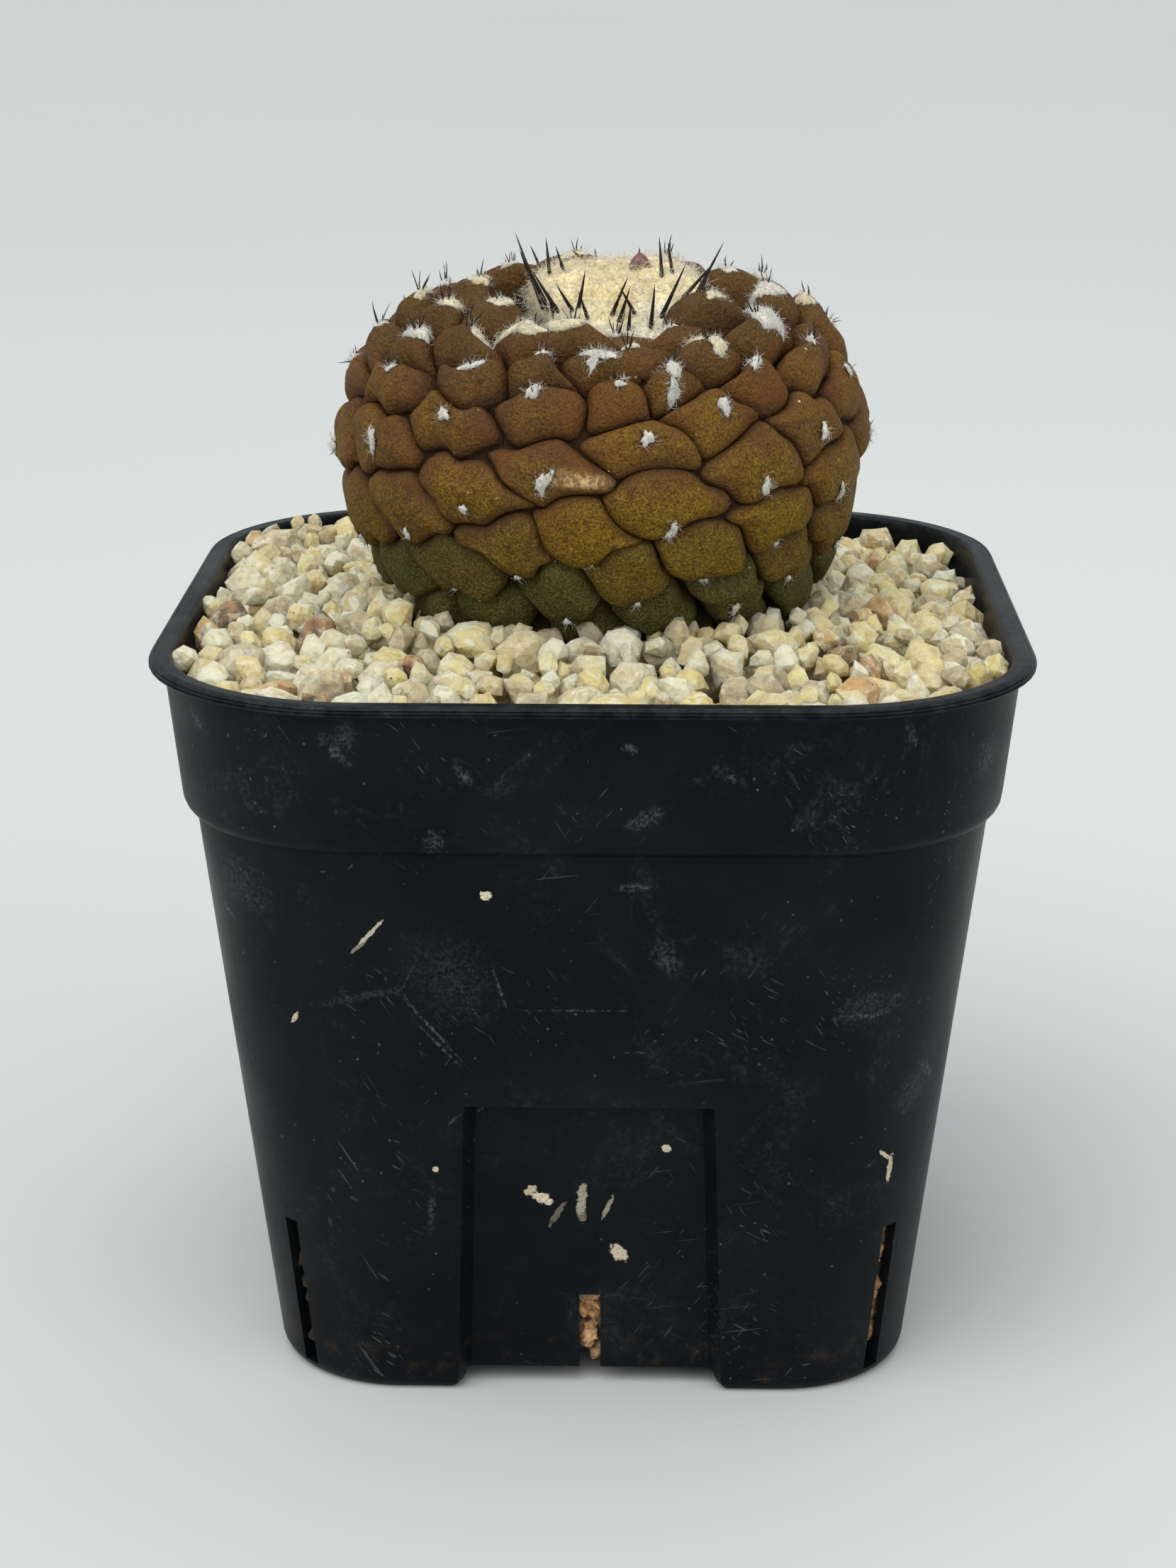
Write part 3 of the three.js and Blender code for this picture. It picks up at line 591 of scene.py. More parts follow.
MARKS = (*(Mark(*row, dirt=True) for row in DRIED_DROPS), *(Mark(*row) for row in SCUFFS))


@dataclass(frozen=True)
class PotPlastic:
    """Near-black moulded plastic with dust, hairline scratches and dried drops."""

    black: Colour = (0.0026, 0.0036, 0.0052)
    worn: Colour = (0.0058, 0.0076, 0.0094)
    dust: Colour = (0.15, 0.185, 0.2)
    dirt: Colour = (0.66, 0.57, 0.42)
    soil: Colour = (0.16, 0.1, 0.05)

    @staticmethod
    def scratches(board: Board, area: Socket, turn: float, seed: float, length: float, rarity: float) -> Socket:
        """Thin scratches in one direction.

        Args:
            board: board of the finish.
            area: where there are any.
            turn: direction in degrees.
            seed: shift of the pattern.
            length: how many times longer than wide.
            rarity: level that the pattern has to reach.

        Returns:
            Strength from 0 to 1.
        """
        place = board.moved((seed, -seed, seed), (0, turn, 0), (1, 1, length))
        lines = board.span(board.noise(3.6, 1, 0.4, 0.25, place), rarity, rarity + 0.05)
        return board.times(lines, area)

    @staticmethod
    def reach(board: Board, mark: Mark) -> Socket:
        """Distance from the middle of a mark, 1 at its edge.

        Args:
            board: board of the finish.
            mark: the mark.

        Returns:
            The distance.
        """
        cos, sin = math.cos(math.radians(mark.turn)), math.sin(math.radians(mark.turn))
        parts, middle = {}, [0, 0, 0.0]
        for axis, (across, up), size in ((0, (cos, -sin), mark.width), (2, (sin, cos), mark.length)):
            parts[axis] = board.node("ShaderNodeVectorMath", {
                0: board.place, 1: (across * 2 / size / MM, 0, up * 2 / size / MM)},
                                     operation="DOT_PRODUCT").outputs["Value"]
            middle[axis] = (across * mark.x + up * mark.z) * 2 / size
        return board.far(middle, board.node("ShaderNodeCombineXYZ", parts).outputs[0])

    def marks(self, board: Board) -> tuple[Socket, Socket]:
        """The marks that the front of the pot shows.

        Args:
            board: board of the finish.

        Returns:
            Strengths of the pale dust and of the dried dirt.
        """
        ragged = board.math("SUBTRACT", board.noise(1.5, 5, 0.7), 0.5)
        grain = board.patches((2.6, 4, 0.7), 0.4, 0.64)
        torn = {dirt: board.times(ragged, amount) for dirt, amount in ((True, 2.2), (False, 3))}
        totals: dict[bool, Socket | None] = {False: None, True: None}
        for mark in MARKS:
            edge = board.plus(self.reach(board, mark), torn[mark.dirt])
            near = board.span(edge, 1.15 if mark.dirt else 1.4, 0.85 if mark.dirt else 0.1, 0, mark.strength)
            kind = totals[mark.dirt]
            totals[mark.dirt] = near if kind is None else board.most(kind, near)
        front = board.span(board.axis("Y"), -0.0285, -0.03)
        pale = board.times(totals[False], front, grain)
        mottled = board.patches((4, 3, 0.6), 0.3, 0.6, 0.55, 1)
        return pale, board.times(totals[True], front, mottled)

    def material(self) -> Material:
        """Builds the finish.

        Returns:
            the material of the finish.
        """
        board = Board("pot_plastic")
        wear = board.patches((0.05, 4, 0.62), 0.38, 0.7)
        board.colour = board.blend(wear, self.black, self.worn)
        smudge = board.times(board.patches((0.11, 6, 0.74, 0.7), 0.5, 0.76),
                             board.patches((1.9, 5, 0.72), 0.4, 0.66))
        specks = board.times(board.span(board.cells(0.62), 0.12, 0.05), board.patches((0.16, 2), 0.5, 0.6))
        areas = [board.span(board.noise(0.07, 3, 0.6, 0, board.moved((shift, shift, 0))), 0.53, 0.68)
                 for shift in (3, 11)]
        lines = board.most(*(
            self.scratches(board, areas[number % 2], *row)
            for number, row in enumerate(((35, 3, 16, 0.7), (-32, 11, 30, 0.71), (82, 23, 60, 0.71),
                                          (-58, 51, 9, 0.7)))))
        pale, dirt = self.marks(board)
        upper = board.span(board.axis("Z"), 0.03, 0.078, 0.55, 1)
        haze = board.times(smudge, upper, 0.22)
        film = board.most(haze, board.times(lines, 0.3), board.times(specks, 0.32), pale)
        board.coat(film, self.dust)
        board.coat(dirt, self.dirt)
        foot = board.times(board.span(board.axis("Z"), 0.014, 0.0005), board.patches((0.3, 5, 0.7), 0.54, 0.7))
        board.coat(board.times(foot, 0.1), self.soil)
        rim = board.span(board.axis("Z"), 0.0766, 0.0775, 0, 0.5)
        board.coat(board.times(rim, board.patches((0.5, 4, 0.7), 0.35, 0.7)), (0.03, 0.034, 0.036))
        rough = board.math("ADD", board.patches((0.08, 3), 0.3, 0.7, 0.34, 0.46),
                           board.times(board.most(film, dirt), 0.5), clamp=True)
        relief = board.times(board.noise(0.9, 3, 0.6), 0.5)
        return board.finish(rough, board.bump(relief, 0.05, 0.55), IOR=1.46, Specular_IOR_Level=0.09)


@dataclass(frozen=True)
class GrowingMix:
    """Coarse growing mix: tan and orange-brown grit with dark bark."""

    @staticmethod
    def shade_corner(board: Board) -> None:
        """Painted shade: coats the mix near-black in the left front corner, where the slot shows only shade."""
        corner = board.span(board.plus(board.axis("X"), board.axis("Y")), -0.042, -0.046)
        board.coat(board.times(corner, 0.96), (0.01, 0.009, 0.008))

    def material(self) -> Material:
        """Builds the finish.

        Returns:
            the material of the finish.
        """
        board = Board("growing_mix")
        pick = board.node("ShaderNodeSeparateColor", {0: board.cells(0.55, "Color")})
        board.colour = board.ramp(pick.outputs[0], (
            (0, (0.3, 0.16, 0.07)), (0.3, (0.46, 0.28, 0.13)), (0.55, (0.2, 0.11, 0.05)),
            (0.8, (0.52, 0.36, 0.2)), (1, (0.09, 0.055, 0.03))))
        # Painted shade: the low gaps between the grit grains are coated dark brown.
        board.coat(board.span(board.cells(0.55), 0.45, 0.75), (0.03, 0.018, 0.01))
        board.coat(board.patches((2.4, 3), 0.4, 0.7, 0, 0.4), (0.12, 0.07, 0.035))
        relief = board.plus(board.times(board.cells(0.55), -1), board.noise(3, 3))
        # Painted shade in the left front corner of the mix.
        self.shade_corner(board)
        return board.finish(0.92, board.bump(relief, 0.6, 1))

    def grit(self) -> Material:
        """Builds the finish of the loose grit in the slots.

        Returns:
            the material of the finish.
        """
        board = Board("slot_grit")
        board.colour = board.ramp(board.attribute("tone"), (
            (0, (0.5, 0.26, 0.1)), (0.35, (0.62, 0.37, 0.17)), (0.6, (0.36, 0.19, 0.08)),
            (0.85, (0.66, 0.46, 0.26)), (1, (0.035, 0.03, 0.026))))
        board.coat(board.patches((1.6, 4, 0.65), 0.46, 0.66, 0, 0.75), (0.16, 0.075, 0.03))
        # Painted shade on the grit in the left front corner.
        self.shade_corner(board)
        return board.finish(0.9, board.bump(board.noise(2.2, 4, 0.65), 0.4))


class Grain(Enum):
    """Kinds of stone in the top dressing, as the share of each."""

    QUARTZ = 0.89
    FELDSPAR = 0.11


@dataclass(frozen=True)
class GrainStone:
    """Weathered crushed quartz and feldspar: cream, a little translucent, with chalky crusts and rusty stains."""

    kind: Grain

    def stops(self) -> tuple[tuple[float, Colour], ...]:
        """Colours of the grains in the order of their tone.

        Returns:
            place and colour of each stop.
        """
        if self.kind is Grain.QUARTZ:
            return (
                (0.00, (0.38, 0.33, 0.24)), (0.14, (0.58, 0.51, 0.36)), (0.26, (0.8, 0.67, 0.37)),
                (0.38, (0.86, 0.69, 0.29)), (0.5, (0.93, 0.81, 0.43)), (0.62, (0.7, 0.63, 0.46)),
                (0.76, (0.96, 0.89, 0.64)), (0.9, (0.99, 0.93, 0.72)), (1.00, (0.6, 0.52, 0.4)),
            )
        return (
            (0.00, (0.03, 0.028, 0.022)), (0.07, (0.16, 0.13, 0.09)), (0.13, (0.4, 0.22, 0.12)),
            (0.3, (0.7, 0.44, 0.18)), (0.55, (0.8, 0.56, 0.25)), (0.8, (0.82, 0.66, 0.38)),
            (1.00, (0.84, 0.75, 0.52)),
        )

    def material(self) -> Material:
        """Builds the finish.

        Returns:
            the material of the finish.
        """
        board = Board(f"grain_{self.kind.name.lower()}")
        tone = board.attribute("tone")
        vein = board.noise(0.42, 4, 0.62, 0.4)
        board.colour = board.ramp(board.plus(board.times(tone, 0.84), board.span(vein, 0.3, 0.7, 0, 0.16)),
                                  self.stops())
        yellow = board.patches((0.3, 3, 0.6, 0.5), 0.46, 0.64)
        board.coat(board.times(yellow, 0.3), (0.8, 0.6, 0.28))
        crust = board.patches((0.62, 6, 0.74, 0.6), 0.5, 0.58)
        crust = board.times(crust, board.span(tone, 0.2, 0.55, 0.4, 0.95))
        board.coat(crust, (0.98, 0.91, 0.69))
        rust = board.times(board.patches((0.23, 4, 0.6, 0.5), 0.63, 0.72), board.patches((1.1, 3, 0.6), 0.38, 0.6))
        board.coat(board.times(rust, 0.62), (0.56, 0.27, 0.08))
        specks = board.times(board.span(board.cells(0.62), 0.11, 0.05), board.patches((0.5, 1), 0.58, 0.64))
        board.coat(board.times(specks, 0.85), (0.05, 0.045, 0.03))
        rough = board.plus(board.patches((0.9, 3), 0.3, 0.7, 0.24, 0.46), board.times(crust, 0.3))
        relief = board.plus(board.cells(1.1), board.noise(1.3, 6, 0.74))
        pale = 0.5 if self.kind is Grain.QUARTZ else 0.3
        return board.finish(rough, board.bump(relief, 0.85, 1), Subsurface_Weight=pale,
                            Subsurface_Radius=(1, 0.82, 0.5), Subsurface_Scale=1.8 * MM, IOR=1.54)


@dataclass(frozen=True)
class PlantSkin:
    """Finely granular skin: red-brown to olive, dark green low down, with painted shade darkening the creases."""

    brown: Colour = (0.12, 0.051, 0.017)
    plum: Colour = (0.084, 0.039, 0.02)
    olive: Colour = (0.152, 0.096, 0.009)
    fleck: Colour = (0.3, 0.19, 0.02)
    green: Colour = (0.056, 0.052, 0.014)
    crown: Colour = (0.06, 0.036, 0.014)

    def material(self) -> Material:
        """Builds the finish.

        Returns:
            the material of the finish.
        """
        board = Board("plant_skin")
        crease = board.attribute("crease")
        mottle = board.noise(1.15, 4, 0.66, 0.3)
        fine = board.noise(4.4, 2, 0.55)
        brown = board.blend(board.patches((0.13, 3, 0.55), 0.36, 0.64), self.plum, self.brown)
        olive = board.plus(board.attribute("olive"), board.patches((0.22, 3, 0.6), 0.3, 0.7, -0.16, 0.16))
        board.colour = board.blend(board.math("MULTIPLY", olive, board.span(mottle, 0.25, 0.6, 0.4, 1), clamp=True),
                                   brown, self.olive)
        flecks = board.times(board.span(fine, 0.49, 0.64), board.span(mottle, 0.3, 0.62, 0.25, 1))
        flecks = board.times(flecks, board.span(olive, -0.1, 0.75, 0.06, 0.62))
        board.coat(flecks, self.fleck)
        board.coat(board.attribute("crown"),
                   board.blend(board.span(fine, 0.45, 0.68, 0, 0.42), self.crown, (0.155, 0.095, 0.03)))
        low = board.blend(board.span(fine, 0.46, 0.66, 0, 0.6), self.green, (0.14, 0.13, 0.046))
        board.coat(board.attribute("low"), low)
        pits = board.span(board.cells(2.3), 0.18, 0.02, 0, 0.35)
        board.coat(pits, (0.03, 0.018, 0.01))
        # Painted shade: the creases between tubercles are coated dark brown, then near-black in their deepest part.
        board.coat(board.span(crease, 0.84, 0.97, 0, 0.28), (0.03, 0.018, 0.01))
        board.coat(board.span(crease, 0.955, 0.997, 0, 0.85), (0.014, 0.009, 0.006))
        bloom = board.times(board.patches((0.28, 4, 0.65, 0.5), 0.57, 0.74), board.span(crease, 0.97, 0.7))
        board.coat(board.times(bloom, 0.18), (0.27, 0.15, 0.07))
        dark = board.times(board.span(fine, 0.5, 0.36), board.span(mottle, 0.62, 0.4, 0.25, 0.75))
        board.coat(dark, (0.045, 0.022, 0.009))
        dust = board.times(board.span(board.cells(0.42), 0.085, 0.035), board.patches((0.3, 1), 0.53, 0.6))
        board.coat(board.times(dust, 0.7), (0.62, 0.55, 0.4))
        board.coat(board.attribute("scar"),
                   board.blend(board.patches((1.5, 4, 0.7), 0.42, 0.6), (0.22, 0.12, 0.055), (0.55, 0.4, 0.2)))
        relief = board.plus(board.times(board.cells(1.9), 0.75), board.times(fine, 0.9))
        normal = board.bump(relief, 0.2, 0.95)
        normal = board.bump(board.noise(0.45, 3, 0.55), 0.35, 0.5, normal)
        rough = board.span(mottle, 0.3, 0.7, 0.46, 0.62)
        return board.finish(rough, normal, IOR=1.42, Specular_IOR_Level=0.06)


@dataclass(frozen=True)
class PlantWool:
    """Felted plant wool, cream in the crown and white on the sides."""

    name: str
    inner: Colour
    outer: Colour
    centre: Colour = (1.3, 0, 112)
    reach: Pair = (5, 11)

    def material(self) -> Material:
        """Builds the finish.

        Returns:
            the material of the finish.
        """
        board = Board(self.name)
        away = board.node("ShaderNodeVectorMath", {0: board.moved(self.centre)}, operation="LENGTH").outputs["Value"]
        distance = board.plus(board.times(away, 1 / MM), board.patches((0.25, 2), 0.3, 0.7, -1.6, 1.6))
        board.colour = board.blend(board.span(distance, *self.reach), self.inner, self.outer)
        board.coat(board.patches((0.7, 4, 0.6), 0.35, 0.7, 0, 0.35), (0.9, 0.84, 0.66))
        board.coat(board.patches((1.9, 4, 0.7), 0.52, 0.7, 0, 0.45), (0.42, 0.32, 0.18))
        threads = board.noise(4, 3, 0.6, 2.2)
        return board.finish(0.95, board.bump(threads, 0.22, 0.6), Subsurface_Weight=0.65,
                            Subsurface_Radius=(1, 0.88, 0.66), Subsurface_Scale=1.4 * MM, Sheen_Weight=0.25)


@dataclass(frozen=True)
class SpineBark:
    """Hard dark spine, streaked with dark grey-brown."""

    def material(self) -> Material:
        """Builds the finish.

        Returns:
            the material of the finish.
        """
        board = Board("spine_bark")
        streak = board.noise(1.4, 3, 0.6, 0.3)
        board.colour = board.ramp(streak, ((0.3, (0.01, 0.008, 0.007)), (0.58, (0.022, 0.017, 0.014)),
                                           (0.75, (0.085, 0.062, 0.048))))
        return board.finish(board.span(streak, 0.3, 0.7, 0.34, 0.55), board.bump(streak, 0.03),
                            Specular_IOR_Level=0.18)


@dataclass(frozen=True)
class BudSkin:
    """Dry plum-brown bud."""

    def material(self) -> Material:
        """Builds the finish.

        Returns:
            the material of the finish.
        """
        board = Board("bud_skin")
        board.colour = board.blend(board.patches((1, 3), 0.35, 0.65), (0.1, 0.034, 0.03), (0.2, 0.085, 0.07))
        return board.finish(0.6, board.bump(board.noise(2.2, 3), 0.15))


@dataclass(frozen=True)
class StudioFloor:
    """Plain pale studio floor."""

    def material(self) -> Material:
        """Builds the finish.

        Returns:
            the material of the finish.
        """
        board = Board("studio_floor")
        board.colour = board.blend(board.noise(0.004, 2), (0.505, 0.522, 0.52), (0.52, 0.537, 0.535))
        return board.finish(0.85)


# ---- repeating trees


class RepeatTree(Tree):
    """Geometry Nodes tree that repeats the shapes of a collection on points."""

    def __init__(self, name: str, shapes: Shapes, material: Material, wanted: dict[str, str]) -> None:
        """Starts the tree with its inputs, its shapes and the painted result.

        Args:
            name: name of the tree.
            shapes: collection of the shapes to repeat.
            material: finish of the result.
            wanted: kind of each named input.
        """
        super().__init__(adjust(bpy.data.node_groups.new(name, "GeometryNodeTree"), is_modifier=True))
        face = self.tree.interface
        face.new_socket("Ground", in_out="INPUT", socket_type="NodeSocketGeometry")
        self.inputs = {label: face.new_socket(label, in_out="INPUT", socket_type=f"NodeSocket{kind}").identifier
                       for label, kind in wanted.items()}
        face.new_socket("Pieces", in_out="OUTPUT", socket_type="NodeSocketGeometry")
        self.given = self.node("NodeGroupInput").outputs
        info = self.node("GeometryNodeCollectionInfo", {
            "Collection": shapes, "Separate Children": True, "Reset Children": True})
        self.scatter = self.node("GeometryNodeInstanceOnPoints", {
            "Instance": info.outputs["Instances"], "Pick Instance": True})
        real = self.node("GeometryNodeRealizeInstances", {"Geometry": self.scatter.outputs["Instances"]})
        paint = self.node("GeometryNodeSetMaterial", {"Geometry": real.outputs["Geometry"], "Material": material})
        self.node("NodeGroupOutput", {"Pieces": paint.outputs["Geometry"]})

    def run(self, base: Thing, name: str, values: dict[str, object]) -> Thing:
        """Runs the tree on an object and gives the result as a plain mesh.

        Args:
            base: object the tree reads.
            name: name of the result.
            values: value of each named input.

        Returns:
            the object.
        """
        holder = adjust(base.modifiers.new("repeat", "NODES"), node_group=self.tree)
        for key, value in values.items():
            holder[self.inputs[key]] = value
        return settle(base, name)


class ScatterTree(RepeatTree):
    """Sets shapes on given points by their turn, size and kind."""

    def __init__(self, name: str, shapes: Shapes, material: Material) -> None:
        """Builds the tree.

        Args:
            name: name of the tree.
            shapes: collection of the shapes to repeat.
            material: finish of the result.
        """
        super().__init__(name, shapes, material, {"Size factor": "Float", "Size wobble": "Float", "Seed": "Int"})
        size = {0: self.given["Size factor"], 1: self.given["Size wobble"]}
        low = self.node("ShaderNodeMath", size, operation="SUBTRACT")
        high = self.node("ShaderNodeMath", size, operation="ADD")
        spread = self.node("FunctionNodeRandomValue", {
            2: low.outputs[0], 3: high.outputs[0], "Seed": self.given["Seed"]}, data_type="FLOAT")
        scale = self.node("ShaderNodeVectorMath", {
            0: self.named("size", "FLOAT_VECTOR"), "Scale": spread.outputs[1]}, operation="SCALE")
        turn = self.node("FunctionNodeEulerToRotation", {0: self.named("turn", "FLOAT_VECTOR")})
        self.fill(self.scatter, {"Points": self.given["Ground"], "Instance Index": self.named("kind", "INT"),
                                 "Rotation": turn.outputs[0], "Scale": scale.outputs[0]})

    def named(self, name: str, kind: str) -> Socket:
        """The points' own named value."""
        return self.node("GeometryNodeInputNamedAttribute", {"Name": name}, data_type=kind).outputs["Attribute"]

    def set_on(self, name: str, places: Array, turn: Array, size: Array, kind: Array,
               tone: Array, wobble: float, seed: int) -> Thing:
        """Sets the shapes on their places.

        Args:
            name: name of the piece.
            places: points in millimetres.
            turn: turns about the three axes, in radians.
            size: sizes along the three axes.
            kind: number of the shape at each place.
            tone: number from 0 to 1 that the finish reads.
            wobble: share by which sizes differ.
            seed: seed of the wobble.

        Returns:
            The piece as a plain mesh.
        """
        base = new_object(name, places, [], {"tone": tone})
        for key, value in (("turn", turn), ("size", size)):
            base.data.attributes.new(key, "FLOAT_VECTOR", "POINT").data.foreach_set(
                "vector", np.asarray(value, np.float32).ravel())
        base.data.attributes.new("kind", "INT", "POINT").data.foreach_set("value", np.asarray(kind, np.int32))
        return self.run(base, name, {"Size factor": 1.0, "Size wobble": float(wobble), "Seed": int(seed)})


class FleeceTree(RepeatTree):
    """Grows fibres, each made along +Z, over a surface."""

    def __init__(self, name: str, fibres: Shapes, material: Material) -> None:
        """Builds the tree.

        Args:
            name: name of the tree.
            fibres: collection of the fibres to repeat.
            material: finish of the result.
        """
        super().__init__(name, fibres, material, {
            "Density": "Float", "Shortest": "Float", "Longest": "Float", "Lay": "Float", "Seed": "Int"})
        given = self.given
        spread = self.node("GeometryNodeDistributePointsOnFaces", {
            "Mesh": given["Ground"], "Density": given["Density"], "Seed": given["Seed"]})
        spin = self.node("FunctionNodeRandomValue", {2: 0.0, 3: TURN, "Seed": given["Seed"]}, data_type="FLOAT")
        swing = self.node("ShaderNodeCombineXYZ", {2: spin.outputs[1]})
        tilt = self.node("ShaderNodeCombineXYZ", {0: given["Lay"]})
        way = spread.outputs["Rotation"]
        for turn in (swing, tilt):
            turn = self.node("FunctionNodeEulerToRotation", {0: turn.outputs[0]})
            way = self.node("FunctionNodeRotateRotation", {0: way, 1: turn.outputs[0]},
                            rotation_space="LOCAL").outputs[0]
        length = self.node("FunctionNodeRandomValue", {2: given["Shortest"], 3: given["Longest"]}, data_type="FLOAT")
        self.fill(self.scatter, {"Points": spread.outputs["Points"], "Rotation": way, "Scale": length.outputs[1]})

    def grow(self, name: str, ground: Thing, density: float, length: Pair, lay: float, seed: int) -> Thing:
        """Grows fibres on a copy of the ground.

        Args:
            name: name of the piece.
            ground: object whose faces carry the fibres.
            density: fibres for each square millimetre.
            length: shortest and longest factor on the fibre shapes.
            lay: how far the fibres lean over, in degrees.
            seed: seed of the growth.

        Returns:
            The fibres as a plain mesh.
        """
        return self.run(add_object(name, ground.data.copy()), name, {
            "Density": density / MM ** 2, "Shortest": length[0], "Longest": length[1], "Lay": math.radians(lay),
            "Seed": seed})


def shelf(name: str, shapes: Sequence[Thing]) -> Shapes:
    """Puts shapes in a collection outside the scene, in the order of their names.

    Args:
        name: name of the collection.
        shapes: objects of the scene.

    Returns:
        The collection.
    """
    made = bpy.data.collections.new(name)
    for shape in shapes:
        bpy.context.scene.collection.objects.unlink(shape)
        made.objects.link(shape)
    return made


def clear_shelf(shapes: Shapes) -> None:
    """Removes a collection and its shapes.

    Args:
        shapes: the collection.
    """
    for shape in list(shapes.objects):
        bpy.data.objects.remove(shape)
    bpy.data.collections.remove(shapes)


def join_pieces(pieces: Sequence[Thing], name: str) -> Thing:
    """Joins plain mesh objects into one.

    Args:
        pieces: the objects.
        name: name of the result.

    Returns:
        The joined object.
    """
    if len(pieces) > 1:
        with bpy.context.temp_override(active_object=pieces[0], selected_editable_objects=list(pieces)):
            bpy.ops.object.join()
    pieces[0].name = name
    pieces[0].data.name = name
    return pieces[0]


def hand_over(piece: Thing, slot: str, *nodes: str) -> None:
    """Gives a finished piece to the frame and reports it.

    Args:
        piece: the finished piece.
        slot: material slot of the record; not used.
        *nodes: nodes that the piece stands for.
    """
    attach(piece, BODY)
    if nodes:
        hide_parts(*nodes)
    LOG.info("%s: %d faces", piece.name, len(piece.data.polygons))


# ---- pot


@dataclass
class Pot:
    """Square nursery pot with round corners, flange, collar, four recessed panels and drain slots."""

    height: float = 78.0
    flange_half_width: float = 45.0
    flange_thickness: float = 1.1
    collar_top_half_width: float = 43.5
    collar_foot_half_width: float = 42.1
    collar_foot_height: float = 64.0
    body_top_half_width: float = 40.7
    body_top_height: float = 62.0
    body_foot_half_width: float = 33.6
    corner_centre: Pair = (20.0, 22.2)
    wall: float = 1.0
    floor: Pair = (2.0, 3.2)
    channel_width: float = 26.0
    foot_flare: Rows = ((-1, 1.7), (0, 1.7), (0.3, 0.9), (0.8, 0.4), (1.5, 0.1))
    panel_top: float = 34.0
    panel_half_widths: Pair = (13.7, 12.75)
    panel_draft: float = 1.2
    panel_depths: Pair = (2.0, 2.4)
    panel_slot: Colour = (2.2, 1.5, 10.8)
    corner_slot: Colour = (2.0, 1.2, 18.5)
    corner_slot_span: Pair = (36.0, 53.0)
    edge_round: float = 0.4
    corner_steps: int = 14
    overrun: float = 1.0
    finish: PotPlastic = PotPlastic()

    def body_half_width(self, z: float) -> float:
        """Half width of the tapered body at a height."""
        low, high = self.body_foot_half_width, self.body_top_half_width
        return low + (high - low) * z / self.body_top_height

    def collar_half_width(self, z: float) -> float:
        """Half width of the collar at a height.

        Args:
            z: the height.

        Returns:
            the half width.
        """
        span = self.height - self.flange_thickness - self.collar_foot_height
        share = (z - self.collar_foot_height) / span
        return self.collar_foot_half_width + (self.collar_top_half_width - self.collar_foot_half_width) * share

    def ring(self, half_width: float, z: float) -> Array:
        """Square with round corners at a height.

        Args:
            half_width: from the middle to a side.
            z: the height.

        Returns:
            Points anticlockwise from above.
        """
        low, high = self.corner_centre
        centre = low + (high - low) * min(z / self.body_top_height, 1.0)
        radius = half_width - centre
        points = []
        for corner in range(4):
            middle = math.pi / 4 + corner * math.pi / 2
            x, y = math.copysign(centre, math.cos(middle)), math.copysign(centre, math.sin(middle))
            for i in range(self.corner_steps + 1):
                angle = middle - math.pi / 4 + i / self.corner_steps * math.pi / 2
                points.append((x + radius * math.cos(angle), y + radius * math.sin(angle), z))
        return np.array(points)

    def outside(self) -> Thing:
        """Outside of the pot as a closed body.

        Returns:
            the body.
        """
        under = self.height - self.flange_thickness
        rings = [self.ring(self.body_half_width(z) - inset, z)
                 for z, inset in ((0.0, 1.12), (0.12, 0.8), (0.34, 0.5), (0.7, 0.24), (1.15, 0.07), (1.7, 0.0),
                                  (36.0, 0.0), (self.body_top_height - 0.15, 0.0))]
        foot = self.collar_foot_half_width
        rings += [self.ring(half, z) for half, z in (
            (foot - 1.12, self.body_top_height + 0.08), (foot - 0.72, self.body_top_height + 0.3),
            (foot - 0.36, self.body_top_height + 0.72), (foot - 0.12, self.body_top_height + 1.25),
            (foot, self.collar_foot_height), (self.collar_half_width(70.0), 70.0))]
        edge = self.flange_half_width
        rings += [self.ring(half, z) for half, z in (
            (self.collar_half_width(under - 0.55), under - 0.55),
            (self.collar_top_half_width + 0.16, under - 0.12), (self.collar_top_half_width + 0.5, under),
            (edge - 0.22, under + 0.03), (edge - 0.04, under + 0.16), (edge, under + 0.28),
            (edge - 0.16, under + 0.38), (edge - 0.03, under + 0.5), (edge - 0.03, under + 0.6),
            (edge - 0.22, under + 0.7), (edge - 0.14, under + 0.82), (edge - 0.24, under + 0.96),
            (edge - 0.5, self.height - 0.03), (edge - 0.62, self.height - 0.1), (edge - 0.78, self.height - 0.02),
            (edge - 1.0, self.height))]
        return loft("pot", rings)

    def panel_block(self, grow: float) -> Array:
        """Rings of the wedge that a side panel takes out of the front, grown by a clearance.

        Args:
            grow: the clearance.

        Returns:
            Rings of points, lowest first.
        """
        reach = self.flange_half_width + self.overrun
        rings = []
        wide, narrow = self.panel_half_widths
        for z, half, depth in (*((z, wide + flare, self.panel_depths[0]) for z, flare in self.foot_flare),
                               (self.panel_top + grow, narrow, self.panel_depths[1])):
            inner = self.body_half_width(z) - depth - grow
            half += grow
            rings.append(np.array([
                (-half, -reach, z), (half, -reach, z), (half, -inner - depth, z),
                (half - self.panel_draft, -inner, z), (-half + self.panel_draft, -inner, z),
                (-half, -inner - depth, z)]))
        return rings

    def around_pot(self, name: str, rings: Sequence[Array], sides: int = 4, offset: float = 0.0) -> list[Thing]:
        """The same block on each side of the pot, a quarter turn apart.

        Args:
            name: start of the names.
            rings: rings of the block at the front.
            sides: number of sides.
            offset: first turn, in radians.

        Returns:
            The blocks.
        """
        made = []
        for side in range(sides):
            turn = np.array(Matrix.Rotation(side * math.pi / 2 + offset, 3, "Z"))
            made.append(loft(f"{name}_{side}", [ring @ turn.T for ring in rings]))
        return made

    @staticmethod
    def block(low: Colour, high: Colour) -> list[Array]:
        """Rings of a plain block between two corners."""
        return [np.array([(low[0], low[1], z), (high[0], low[1], z), (high[0], high[1], z), (low[0], high[1], z)])
                for z in (low[2], high[2])]

